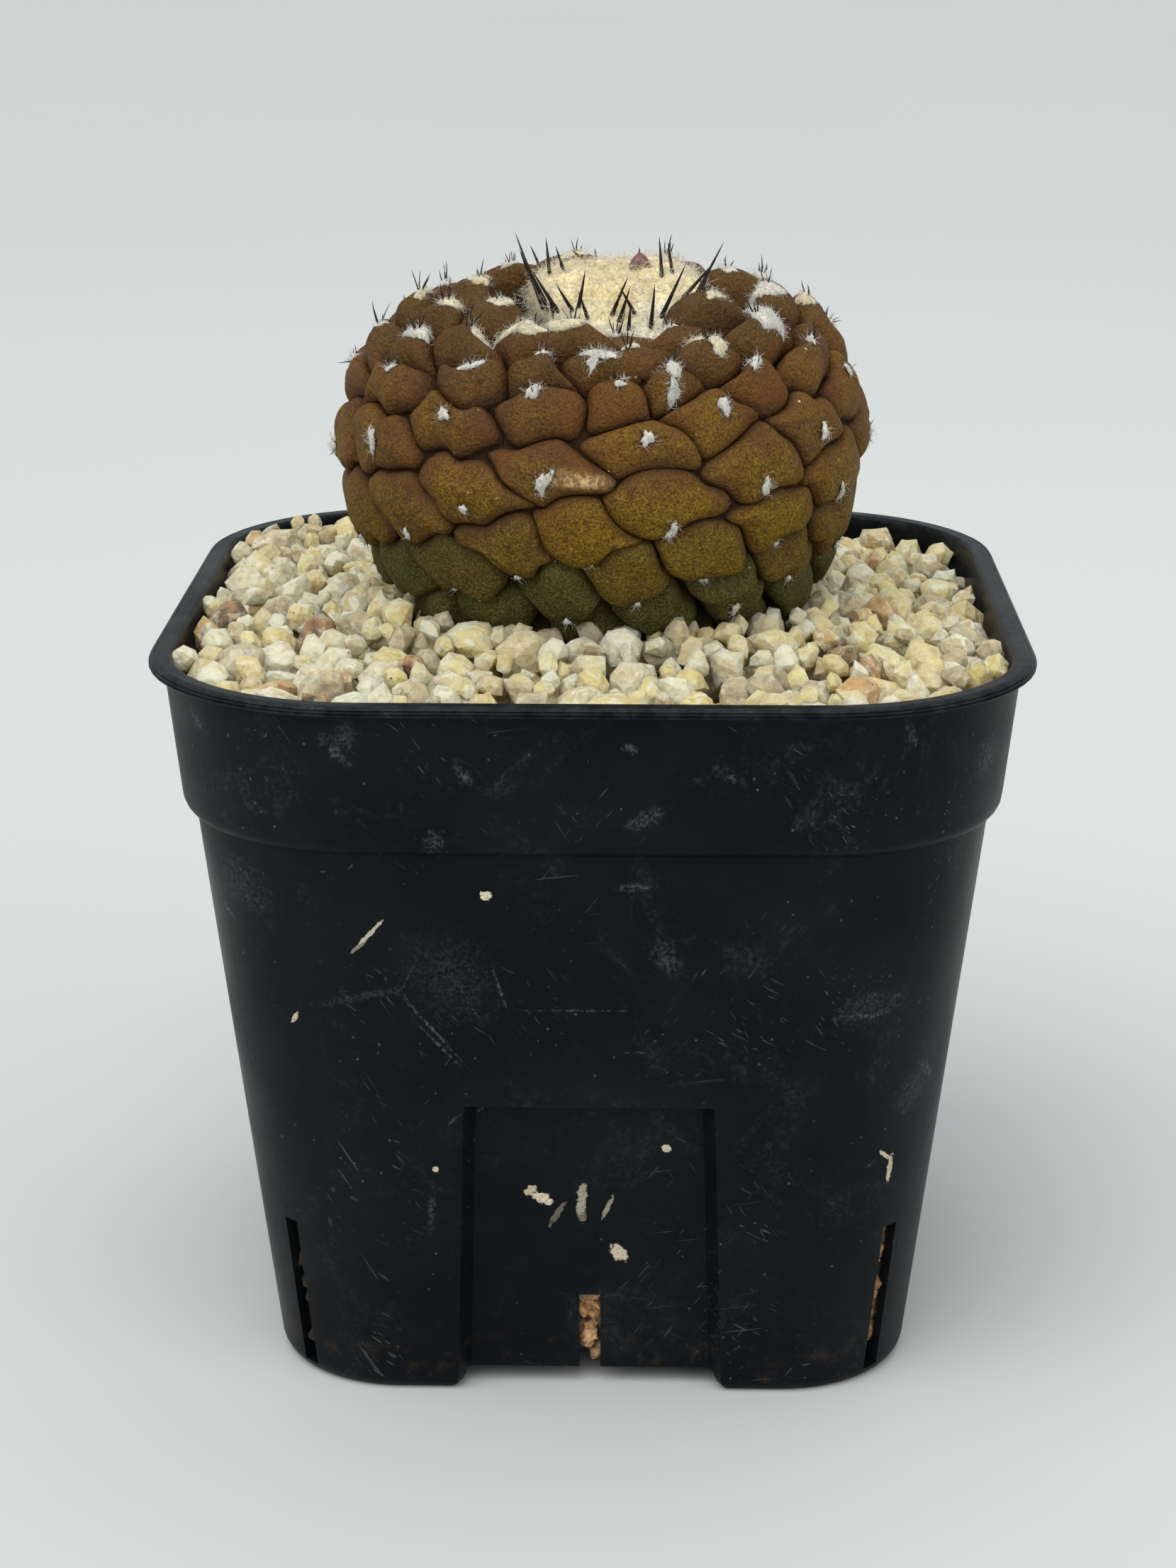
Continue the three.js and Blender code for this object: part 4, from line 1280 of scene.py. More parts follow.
    def room(self) -> Thing:
        """Space inside the pot.

        Returns:
            the body of the space.
        """
        top = self.height - 0.55
        rings = [self.ring(self.body_half_width(z) - self.wall, z)
                 for z in (self.floor[1], self.body_top_height - 0.4)]
        rings += [self.ring(self.collar_half_width(z) - self.wall, z)
                  for z in (self.collar_foot_height - 0.6, 70.0, top)]
        inner = self.collar_half_width(top) - self.wall
        rings += [self.ring(inner + 0.05, top + 0.2), self.ring(inner + 0.2, top + 0.4),
                  self.ring(inner + 0.42, self.height), self.ring(inner + 0.6, self.height + self.overrun)]
        return subtract(loft("pot_room", rings), self.around_pot("inner_panel", self.panel_block(self.wall)))

    def build(self) -> Thing:
        """Builds the pot.

        Returns:
            the pot.
        """
        reach, half = self.flange_half_width, self.channel_width / 2
        channel = [ring for z, flare in (*self.foot_flare, (self.floor[0], 0.0))
                   for ring in self.block((-half - flare, -reach, z), (half + flare, reach, z))[:1]]
        cutters = self.around_pot("panel", self.panel_block(0.0))
        cutters += self.around_pot("channel", channel, 2)
        pot = subtract(self.outside(), cutters)
        self.round_edges(pot)
        pot = settle(pot)
        width, low, high = self.panel_slot
        slot = self.block((-width / 2, -reach, low), (width / 2, -27.0, high))
        width, low, high = self.corner_slot
        near, far = self.corner_slot_span
        corner = self.block((-width / 2, -far, low), (width / 2, -near, high))
        corners = self.around_pot("corner_slot", corner, offset=math.pi / 4)
        pot = subtract(pot, [self.room(), *self.around_pot("slot", slot), *corners])
        smooth_by_angle(pot.data, 33)
        adjust(pot.modifiers.new("level", "WEIGHTED_NORMAL"), keep_sharp=True, weight=50)
        return settle(pot, "pot_shell")

    def round_edges(self, pot: Thing) -> None:
        """Marks the edges of the panels and feet and rounds them with a bevel.

        Args:
            pot: object whose edges are rounded.
        """
        with editing(pot.data) as sheet:
            layers = sheet.edges.layers.float
            layer = layers.get("bevel_weight_edge") or layers.new("bevel_weight_edge")
            for edge in sheet.edges:
                middle = (edge.verts[0].co.z + edge.verts[1].co.z) / 2
                turned = len(edge.link_faces) == 2 and edge.calc_face_angle(0.0) > math.radians(38)
                if turned and middle < (self.panel_top + 1.5) * MM and edge.calc_length() > 0.6 * MM:
                    edge[layer] = 1.0
        adjust(pot.modifiers.new("round", "BEVEL"), limit_method="WEIGHT", width=self.edge_round * MM, segments=3,
               use_clamp_overlap=True)

    def dress(self, piece: Thing) -> None:
        """Gives the pot its finish and hands it over."""
        paint(piece, self.finish.material())
        hand_over(piece, "pot_plastic", "pot")


# ---- stones


@dataclass
class StoneCutter:
    """Makes broken stones of a few dozen faces."""

    seed: int = 4
    kinds: int = 18
    corners: int = 32
    planes: int = 7

    def stone(self, number: int) -> Thing:
        """One lumpy stone about 2 millimetres across, broken along a few planes.

        Args:
            number: number of the stone, in its name and form.

        Returns:
            the stone.
        """
        rng = np.random.default_rng(self.seed * 100 + number)
        steps = np.arange(self.corners) + 0.5
        polar = np.arccos(1 - 2 * steps / self.corners)
        ways = unit(around(math.pi * (1 + 5 ** 0.5) * steps, np.sin(polar), np.cos(polar))
                    + rng.normal(0, 0.1, (self.corners, 3)))
        facing = np.maximum(ways @ unit(rng.normal(0, 1, (self.planes, 3))).T, 1e-6)
        depths = rng.uniform(0.5, 0.92, self.planes)
        reach = np.minimum((depths / facing).min(axis=1), 1.0) * rng.uniform(0.84, 1.12, self.corners)
        mesh = bpy.data.meshes.new(f"stone_{number:02d}")
        with editing(mesh) as sheet:
            for way in ways:
                sheet.verts.new(Vector(way))
            bmesh.ops.convex_hull(sheet, input=sheet.verts)
            bmesh.ops.recalc_face_normals(sheet, faces=sheet.faces)
            for vertex, far in zip(sheet.verts, reach):
                vertex.co *= far * MM
        smooth_by_angle(mesh, 36)
        return add_object(mesh.name, mesh)

    def shapes(self) -> Shapes:
        """The stones in a collection."""
        return shelf("stone_shapes", [self.stone(i) for i in range(self.kinds)])


@dataclass
class Gravel:
    """Top dressing of loose quartz grains, laid one by one where the surface is lowest."""

    pot: Pot
    level_front: float = 77.2
    level_back: float = 77.9
    corner_drop: float = 1.8
    corner_start: float = 0.45
    mound: Colour = (2.6, 24.5, 5.5)
    bed: float = 71.8
    plant_x: float = 1.2
    plant_radius: float = 21.0
    grain_radii: Pair = (1.1, 3.6)
    wall_gap: float = 0.75
    step: float = 0.5
    contact: float = 0.8
    proud: float = 0.5
    sunk: float = 0.75
    least: float = 0.75
    room_share: float = 1.7
    rest: float = 0.3
    size_spread: Pair = (1.3, 2.3)
    half_map: float = 44.0
    half_drop: float = 42.0
    tries: int = 40
    patience: int = 420
    most: int = 2400
    seed: int = 12

    def level(self, x: Array, y: Array) -> Array:
        """Height of the gravel's surface.

        Args:
            x: places from left to right.
            y: places from front to back.

        Returns:
            the heights.
        """
        half = self.pot.collar_top_half_width
        back = (y / half + 1) / 2
        corner = smooth_step((1.2 * x + 0.6 * y) / half - self.corner_start)
        rise, reach, width = self.mound
        mound = rise * np.exp(-((np.hypot(x - self.plant_x, y) - reach) / width) ** 2) * smooth_step(0.55 - y / 30)
        return self.level_front + (self.level_back - self.level_front) * back - self.corner_drop * corner + mound

    def inside(self, x: Array, y: Array, radius: float) -> Array:
        """Whether a grain is clear of the wall and of the plant's foot.

        Args:
            x: places to the right.
            y: places to the back.
            radius: size of the grain.

        Returns:
            True or false for each place.
        """
        half = self.pot.collar_top_half_width - self.wall_gap
        centre = self.pot.corner_centre[1]
        over = np.hypot(np.maximum(np.abs(x) - centre, 0), np.maximum(np.abs(y) - centre, 0))
        plant = np.hypot(x - self.plant_x, y)
        return (over < half - centre - 0.85 * radius) & (plant > self.plant_radius + 0.5 * radius)

    def drop(self) -> tuple[Array, Array]:
        """Lays grains on a map of heights until the surface is reached.

        Returns:
            Centres in millimetres, and radii.
        """
        rng = np.random.default_rng(self.seed)
        lines = np.arange(-self.half_map, self.half_map + self.step, self.step)
        ground = np.full((len(lines), len(lines)), self.bed)
        small, large = self.grain_radii
        centres, radii, failed = [], [], 0
        while len(radii) < self.most and failed < self.patience:
            drawn = small + (large - small) * rng.beta(*self.size_spread)
            x, y = rng.uniform(-self.half_drop, self.half_drop, (2, self.tries * 2))
            fits = self.inside(x, y, drawn)
            x, y = x[fits][: self.tries], y[fits][: self.tries]
            i, j = (np.rint((place + self.half_map) / self.step).astype(int) for place in (x, y))
            want = self.level(x, y)
            for best in np.argsort(ground[i, j] - want)[::4]:
                room = want[best] + self.proud - ground[i[best], j[best]]
                radius = min(drawn, self.room_share * room / (2 * self.contact))
                touch = self.contact * radius
                reach = math.ceil(touch / self.step)
                part = (slice(i[best] - reach, i[best] + reach + 1), slice(j[best] - reach, j[best] + reach + 1))
                flat = (lines[part[0], None] - x[best]) ** 2 + (lines[None, part[1]] - y[best]) ** 2
                cap = np.sqrt(np.maximum(touch ** 2 - flat, 0))
                large_enough = radius > self.least * small
                height = float((ground[part] + cap)[flat <= touch ** 2].max()) if large_enough else math.inf
                excess = height + touch - want[best] - self.proud
                if excess <= self.sunk * touch:
                    height -= max(excess - self.rest, 0.0)
                    ground[part] = np.where(cap > 0, np.maximum(ground[part], height + cap), ground[part])
                    centres.append((x[best], y[best], height))
                    radii.append(radius)
                    break
            else:
                failed += 1
        return np.array(centres), np.array(radii)

    def build(self) -> list[Thing]:
        """Builds the grains, one piece for each kind of stone.

        Returns:
            the pieces.
        """
        centres, radii = self.drop()
        rng = np.random.default_rng(self.seed + 1)
        count = len(radii)
        chance = rng.random(count)
        turn = rng.uniform(0, TURN, (count, 3))
        size = radii[:, None] * rng.uniform([0.95, 0.85, 0.72], [1.3, 1.15, 1.02], (count, 3))
        kind = rng.integers(0, StoneCutter().kinds, count)
        tone = rng.random(count)
        shapes = StoneCutter().shapes()
        pieces = []
        for grain, low, high in ((Grain.QUARTZ, 0.0, Grain.QUARTZ.value), (Grain.FELDSPAR, Grain.QUARTZ.value, 1.0)):
            tree = ScatterTree(f"set_{grain.name.lower()}", shapes, GrainStone(grain).material())
            mine = (chance >= low) & (chance < high)
            pieces.append(tree.set_on(f"gravel_{grain.name.lower()}", centres[mine], turn[mine], size[mine],
                                      kind[mine], tone[mine], 0.05, self.seed))
        clear_shelf(shapes)
        return pieces

    def dress(self, pieces: Sequence[Thing]) -> None:
        """Hands the grains over; together they stand for the gravel node."""
        for i, piece in enumerate(pieces):
            hand_over(piece, "gravel", *(("gravel_topdressing",) if i == 0 else ()))


@dataclass
class SlotGrit:
    """Grit of the growing mix that shows in the drain slots."""

    pot: Pot
    sizes: Pair = (0.75, 1.35)
    counts: tuple[int, int] = (20, 30)
    seed: int = 31

    def build(self) -> Thing:
        """Builds the grit behind the four panel slots and the four corner slots.

        Returns:
            the grit.
        """
        rng = np.random.default_rng(self.seed)
        pot = self.pot
        places, tones = [], []
        for slot in range(8):
            turn = np.array(Matrix.Rotation(slot * math.pi / 4, 3, "Z"))
            corner = slot % 2
            width, low, high = pot.corner_slot if corner else pot.panel_slot
            tone = ((0.0, 0.5), (0.45, 0.72))[corner]
            for _ in range(self.counts[corner]):
                z = rng.uniform(low + (2.4 if corner else 1.2), high + 0.4)
                out = pot.body_half_width(z) - rng.uniform(1.45, 2.1)
                out += (math.sqrt(2) - 1) * pot.corner_centre[0] if corner else -pot.panel_depths[0]
                places.append(np.array([rng.uniform(-0.5, 0.5) * width, -out, z]) @ turn.T)
                tones.append(rng.uniform(*tone))
        count = len(places)
        shapes = StoneCutter(seed=9, kinds=8).shapes()
        tree = ScatterTree("set_grit", shapes, GrowingMix().grit())
        size = rng.uniform(*self.sizes, (count, 1)) * rng.uniform(0.8, 1.15, (count, 3))
        piece = tree.set_on("slot_grit", np.array(places), rng.uniform(0, TURN, (count, 3)), size,
                            rng.integers(0, 8, count), np.array(tones), 0.04, self.seed)
        clear_shelf(shapes)
        return piece

    def dress(self, piece: Thing, frame: dict) -> None:
        """Hands the grit over and finishes the growing mix behind it."""
        hand_over(piece, "substrate")
        paint(frame["nodes"]["substrate"], GrowingMix().material())


# ---- plant


@dataclass(frozen=True)
class Tubercle:
    """One tubercle: places are measured along the outline, so that a step to the side is drawn to the same scale."""

    index: int
    angle: float
    centre: float
    areole: float
    growth: float

    @property
    def apex(self) -> Pair:
        """Highest point, between the middle and the areole."""
        return self.angle, self.centre + 0.55 * (self.areole - self.centre)


@dataclass
class PlantForm:
    """Outline, lean and spiral of the plant, with the ground that each tubercle covers."""

    outline_points: Rows = (
        (21, 73.5), (22.2, 77.5), (24.4, 82), (26.4, 86.5), (27.8, 91), (28.4, 96), (27.9, 100),
        (26.6, 104), (24.2, 107.8), (21.2, 110.4), (17.5, 111.9), (13.4, 112.4), (10, 111.8))
    outline_steps: int = 24
    lean: float = 3.6
    lean_toward: float = -44.0
    lean_pivot: float = 80.0
    offset_x: float = 1.3
    spiral_turn: float = 139.28
    spiral_start: float = -12.15
    spiral: tuple[int, int] = (-51, 57)
    heights: Rows = ((-31, 108.5), (-18, 106), (-5, 101.3), (8, 95), (21, 88.9), (34, 83.9), (47, 79.2), (60, 74.8))
    crown_step: float = 0.026
    crown_blend: Pair = (10.0, 15.0)
    areole_rise: Rows = (
        (-45, 1.2), (-26, 2.2), (-18, 1.9), (-13, 1.1), (-5, -0.1),
        (3, -1.5), (13, -2.9), (21, -2.4), (31, -1.3), (45, -0.6))
    squeeze: Pair = (13.0, 9.0)
    crown_twist: float = 9.7
    back_range: Pair = (4.0, 1.6)
    growth_range: Pair = (0.92, 1.06)
    stunted: dict[int, float] = field(default_factory=lambda: {
        -36: 0.3, -41: 0.45, -44: 0.7, -48: 0.5, -49: 0.2, -51: 0.5})
    relief: Rows = (
        (72, 4.4, 2), (80, 4.4, 2.1), (86, 2.7, 2.6), (92, 1.6, 3),
        (99, 1.6, 3), (104, 2.4, 2.6), (108, 3.3, 2.2), (113, 4.2, 2))
    roundness: Rows = ((74, 4), (84, 5), (90, 12), (101, 12), (107, 5), (112, 4))
    winding: float = 0.4
    waist: Pair = (94.0, 97.0)
    waist_fade: float = 9.0
    lean_up: float = 0.3
    lean_down: float = 0.5
    edge_fade: float = 0.3
    weld: float = 0.9
    breadth: float = 1.9
    out_of_line: dict[int, Pair] = field(default_factory=lambda: {
        -39: (4, -0.5), -36: (-3, -1), -33: (-6, 0), -31: (2, -0.3), -28: (-9, 0.5), -26: (2, 0),
        -23: (-3, -1), -21: (2, 0), -20: (-5, -1), -16: (4, 0), -15: (-8, 0.3), -18: (2, -0.8),
        -13: (4, 0.3), -8: (2, 1), -7: (-5, 0), -5: (2, 0), -3: (2, 0), -2: (-3, 0.5),
        0: (-1, 0.2), 8: (-3, -0.4), 10: (3, 0), 11: (-4, 0.6), 13: (-2, -0.6), 16: (-4, 0),
        21: (-2, 0), 23: (4, -0.8), 24: (-7, 0.6), 26: (0, 0.8), 28: (4, -1), 29: (-5, 0.4),
        31: (2, 0.6), 34: (-2, 0.4), 39: (-1, 0.8), 42: (-3, 0)})

    def __post_init__(self) -> None:
        """Works out the outline, the tubercles and their ground."""
        self.rows = self.smooth_outline()
        self.end = float(self.rows[-1, 0])
        self.tubercles = self.place_tubercles()
        self.grounds = self.share_ground()

    def smooth_outline(self) -> Array:
        """Rows of measure, radius, height and direction along the outline.

        Returns:
            the rows.
        """
        given = np.array(self.outline_points, float)
        padded = np.vstack([2 * given[0] - given[1], given, 2 * given[-1] - given[-2]])
        points = []
        for k in range(len(given) - 1):
            p0, p1, p2, p3 = padded[k: k + 4]
            d0, d1, d2 = (float(((b - a) ** 2).sum()) ** 0.25 for a, b in ((p0, p1), (p1, p2), (p2, p3)))
            t1 = ((p1 - p0) / d0 - (p2 - p0) / (d0 + d1) + (p2 - p1) / d1) * d1
            t2 = ((p2 - p1) / d1 - (p3 - p1) / (d1 + d2) + (p3 - p2) / d2) * d1
            t = (np.arange(self.outline_steps) / self.outline_steps)[:, None]
            points.append(p1 + t1 * t + (-3 * p1 + 3 * p2 - 2 * t1 - t2) * t ** 2
                          + (2 * p1 - 2 * p2 + t1 + t2) * t ** 3)
        line = np.vstack([*points, given[-1:]])
        steps = np.linalg.norm(np.diff(line, axis=0), axis=1) / ((line[1:, 0] + line[:-1, 0]) / 2)
        measure = np.concatenate([[0.0], np.cumsum(steps)])
        ends = np.vstack([line[:1], line[:-1]]), np.vstack([line[1:], line[-1:]])
        return np.column_stack([measure, line, unit(ends[1] - ends[0])])

    def column(self, measure: Array | float, number: int) -> Array | float:
        """One column of the outline at a measure."""
        return np.interp(measure, self.rows[:, 0], self.rows[:, number])

    def on_plant(self, angle: Array, measure: Array, share: Array, growth: float = 1.0) -> Array:
        """Points over the outline, before the plant leans.

        Args:
            angle: angle from the front.
            measure: measure along the outline.
            share: height of the tubercle there, from 0 in the crease to 1 at the top.
            growth: size of the tubercle's relief.

        Returns:
            Points in millimetres.
        """
        angle, measure = self.wind(np.asarray(angle, float), np.asarray(measure, float))
        radius, height = self.column(measure, 1), self.column(measure, 2)
        tx, tz = self.column(measure, 3), self.column(measure, 4)
        size = np.hypot(tx, tz)
        tx, tz = tx / size, tz / size
        relief = table(self.relief, height)
        drawn = (self.lean_up * smooth_step((height - self.waist[1]) / self.waist_fade)
                 - self.lean_down * smooth_step((self.waist[0] - height) / self.waist_fade))
        rise = relief * (share * growth - 1)
        slide = relief * share * drawn * smooth_step((self.end - measure) / self.edge_fade)
        return around(angle, radius + tz * rise + tx * slide, height - tx * rise + tz * slide)

    def wind(self, angle: Array, measure: Array) -> tuple[Array, Array]:
        """Places moved by soft waves, so that the creases wind a little.

        Args:
            angle: angles from the front.
            measure: measures along the outline.

        Returns:
            The moved angles and measures.
        """
        radius = self.column(measure, 1)
        spot = around(angle, radius, self.column(measure, 2))
        across = np.sin(spot @ (0.52, 0.41, 0.83) + 1.0) + np.sin(spot @ (-0.95, 0.62, 0.3) + 2.4)
        along = np.sin(spot @ (0.71, -0.8, 0.45) + 0.3) + np.sin(spot @ (0.22, 1.15, -0.74) + 4.1)
        size = self.winding * smooth_step(measure / 0.08) * smooth_step((self.end - measure) / 0.2) / radius
        return angle + size * across, measure + size * along

    def lean_over(self, points: Array) -> Array:
        """Points of the leaning plant.

        Args:
            points: points of the upright plant.

        Returns:
            the moved points.
        """
        toward, tilt = math.radians(self.lean_toward), math.radians(self.lean)
        axis = np.array([math.cos(toward), math.sin(toward), 0.0])
        given = np.asarray(points) - [0, 0, self.lean_pivot]
        along_axis = (given @ axis)[..., None] * axis
        turned = along_axis + (given - along_axis) * math.cos(tilt) + np.cross(axis, given) * math.sin(tilt)
        return turned + [self.offset_x, 0, self.lean_pivot]

    def place_tubercles(self) -> list[Tubercle]:
        """Tubercles along the spiral.

        Returns:
            the tubercles in the order of the spiral.
        """
        draw = make_draw(7)
        rising = self.rows[self.rows[:, 4] > 0]
        made = []
        for index in range(self.spiral[0], self.spiral[1] + 1):
            crown = smooth_step((-index - self.crown_blend[0]) / self.crown_blend[1])
            raw = math.radians(self.spiral_start + self.spiral_turn * index + self.crown_twist * crown)
            angle = raw - math.radians(self.squeeze[0] + self.squeeze[1] * crown) * math.sin(raw)
            first = self.heights[0][0]
            measure = float(np.interp(table(self.heights, max(index, first)), rising[:, 2], rising[:, 0]))
            measure += max(first - index, 0) * self.crown_step
            radius = self.column(measure, 1)
            shift = self.out_of_line.get(index, (0, 0))
            angle += math.radians(shift[0])
            measure += shift[1] / radius
            hidden = 1 if math.cos(angle) < 0 else 0
            angle += math.radians(self.back_range[0]) * hidden * (draw() - 0.5)
            measure += self.back_range[1] / radius * hidden * (draw() - 0.5)
            low, high = self.growth_range
            growth = (low + (high - low) * draw()) * self.stunted.get(index, 1.0)
            areole = measure + table(self.areole_rise, index) / radius
            made.append(Tubercle(index, math.atan2(math.sin(angle), math.cos(angle)), measure, areole, growth))
        return made

    def clip(self, ground: list[Pair], own: Pair, other: Pair) -> list[Pair]:
        """Part of a polygon nearer to its own place than to another; a step up counts for more than one across.

        Args:
            ground: corners in angle and measure.
            own: the polygon's own place.
            other: the other place.

        Returns:
            Corners of what is kept.
        """
        middle = ((own[0] + other[0]) / 2, (own[1] + other[1]) / 2)
        away = (other[0] - own[0], (other[1] - own[1]) * self.breadth ** 2)
        side = [(p[0] - middle[0]) * away[0] + (p[1] - middle[1]) * away[1] for p in ground]
        kept = []
        for i, point in enumerate(ground):
            following = ground[(i + 1) % len(ground)]
            here, there = side[i], side[(i + 1) % len(ground)]
            if here <= 0:
                kept.append(point)
            if here * there < 0:
                t = here / (here - there)
                kept.append((point[0] + t * (following[0] - point[0]), point[1] + t * (following[1] - point[1])))
        return kept

    def share_ground(self) -> list[Array]:
        """Polygon of each tubercle, in angle and measure, with close corners made one.

        Returns:
            the polygons.
        """
        grounds = []
        for cell in self.tubercles:
            own = (cell.angle, cell.centre)
            ground = [(own[0] - 1.2, 0.0), (own[0] + 1.2, 0.0), (own[0] + 1.2, self.end), (own[0] - 1.2, self.end)]
            for other in self.tubercles:
                for lap in (-TURN, 0.0, TURN):
                    place = (other.angle + lap, other.centre)
                    near = abs(place[0] - own[0]) < 1.6 and abs(place[1] - own[1]) < 1.2
                    if near and (other is not cell or lap != 0):
                        ground = self.clip(ground, own, place)
            grounds.append(ground)
        loose = sorted((point for ground in grounds for point in ground),
                       key=lambda p: min(abs(p[1]), abs(self.end - p[1])) >= 1e-9)
        corners, corner_places = [], np.zeros((0, 3))
        for point, place in zip(loose, self.in_crease(loose)):
            if not len(corners) or np.linalg.norm(corner_places - place, axis=1).min() >= self.weld:
                corners.append(point)
                corner_places = np.vstack([corner_places, place])
        shared = []
        for ground in grounds:
            snapped = []
            for point, place in zip(ground, self.in_crease(ground)):
                best = corners[int(np.argmin(np.linalg.norm(corner_places - place, axis=1)))]
                snapped.append((best[0] + math.floor((point[0] - best[0]) / TURN + 0.5) * TURN, best[1]))
            shared.append(np.array([p for p, q in zip(snapped, snapped[1:] + snapped[:1])
                                    if abs(p[0] - q[0]) > 1e-9 or abs(p[1] - q[1]) > 1e-9]))
        return shared

    def in_crease(self, places: Sequence[Pair]) -> Array:
        """Points in the crease at places of angle and measure.

        Args:
            places: angle and measure of each point.

        Returns:
            the points.
        """
        if not len(places):
            return np.zeros((0, 3))
        angle, measure = np.array(places, float).T
        return self.on_plant(angle, measure, np.zeros(len(angle)))

    def flatness(self, cell: Tubercle) -> float:
        """How flat the tubercle's top is."""
        return float(table(self.relief, self.column(cell.apex[1], 2), 2))

    def share_at(self, number: int, place: Array) -> Array:
        """How far places lie from a tubercle's apex, 0, towards its rounded border, 1 and more.

        Args:
            number: number of the tubercle.
            place: rows of angle and measure.

        Returns:
            The share for each place.
        """
        cell = self.tubercles[number]
        apex = np.array(cell.apex)
        ground = self.grounds[number]
        edges = np.roll(ground, -1, axis=0) - ground
        normals = np.column_stack([edges[:, 1], -edges[:, 0]])
        limits = ((ground - apex) * normals).sum(axis=1)
        keep = np.abs(limits) > 1e-9
        parts = np.maximum(((np.atleast_2d(place) - apex) @ normals[keep].T) / limits[keep], 0)
        power = float(table(self.roundness, self.column(cell.apex[1], 2)))
        return (parts ** power).sum(axis=1) ** (1 / power)

    def skin(self, number: int, place: Array) -> Array:
        """Points of the leaning skin over a tubercle, at places of angle and measure.

        Args:
            number: number of the tubercle.
            place: rows of angle and measure.

        Returns:
            Points in millimetres.
        """
        cell = self.tubercles[number]
        place = np.atleast_2d(place)
        share = np.minimum(self.share_at(number, place), 1)
        swell = np.sqrt(np.maximum(1 - share ** self.flatness(cell), 0))
        return self.lean_over(self.on_plant(place[:, 0], place[:, 1], swell, cell.growth))

    def seat(self, number: int, across: float = 0.0, up: float = 0.0) -> tuple[Array, Array, Array, Array]:
        """Place near a tubercle's areole, and the directions across, up and out there.

        Args:
            number: number of the tubercle.
            across: step to the right, in millimetres.
            up: step upwards, in millimetres.

        Returns:
            The place and three unit vectors.
        """
        cell = self.tubercles[number]
        radius = float(self.column(cell.areole, 1))
        spot = np.array([cell.angle + across / radius, cell.areole + up / radius])
        step = 0.25 / radius
        here, right, above = (self.skin(number, spot + shift)[0] for shift in ((0, 0), (step, 0), (0, step)))
        side, rise = unit(right - here), unit(above - here)
        out = unit(np.cross(side, rise))
        return here, side, unit(np.cross(out, side)), out


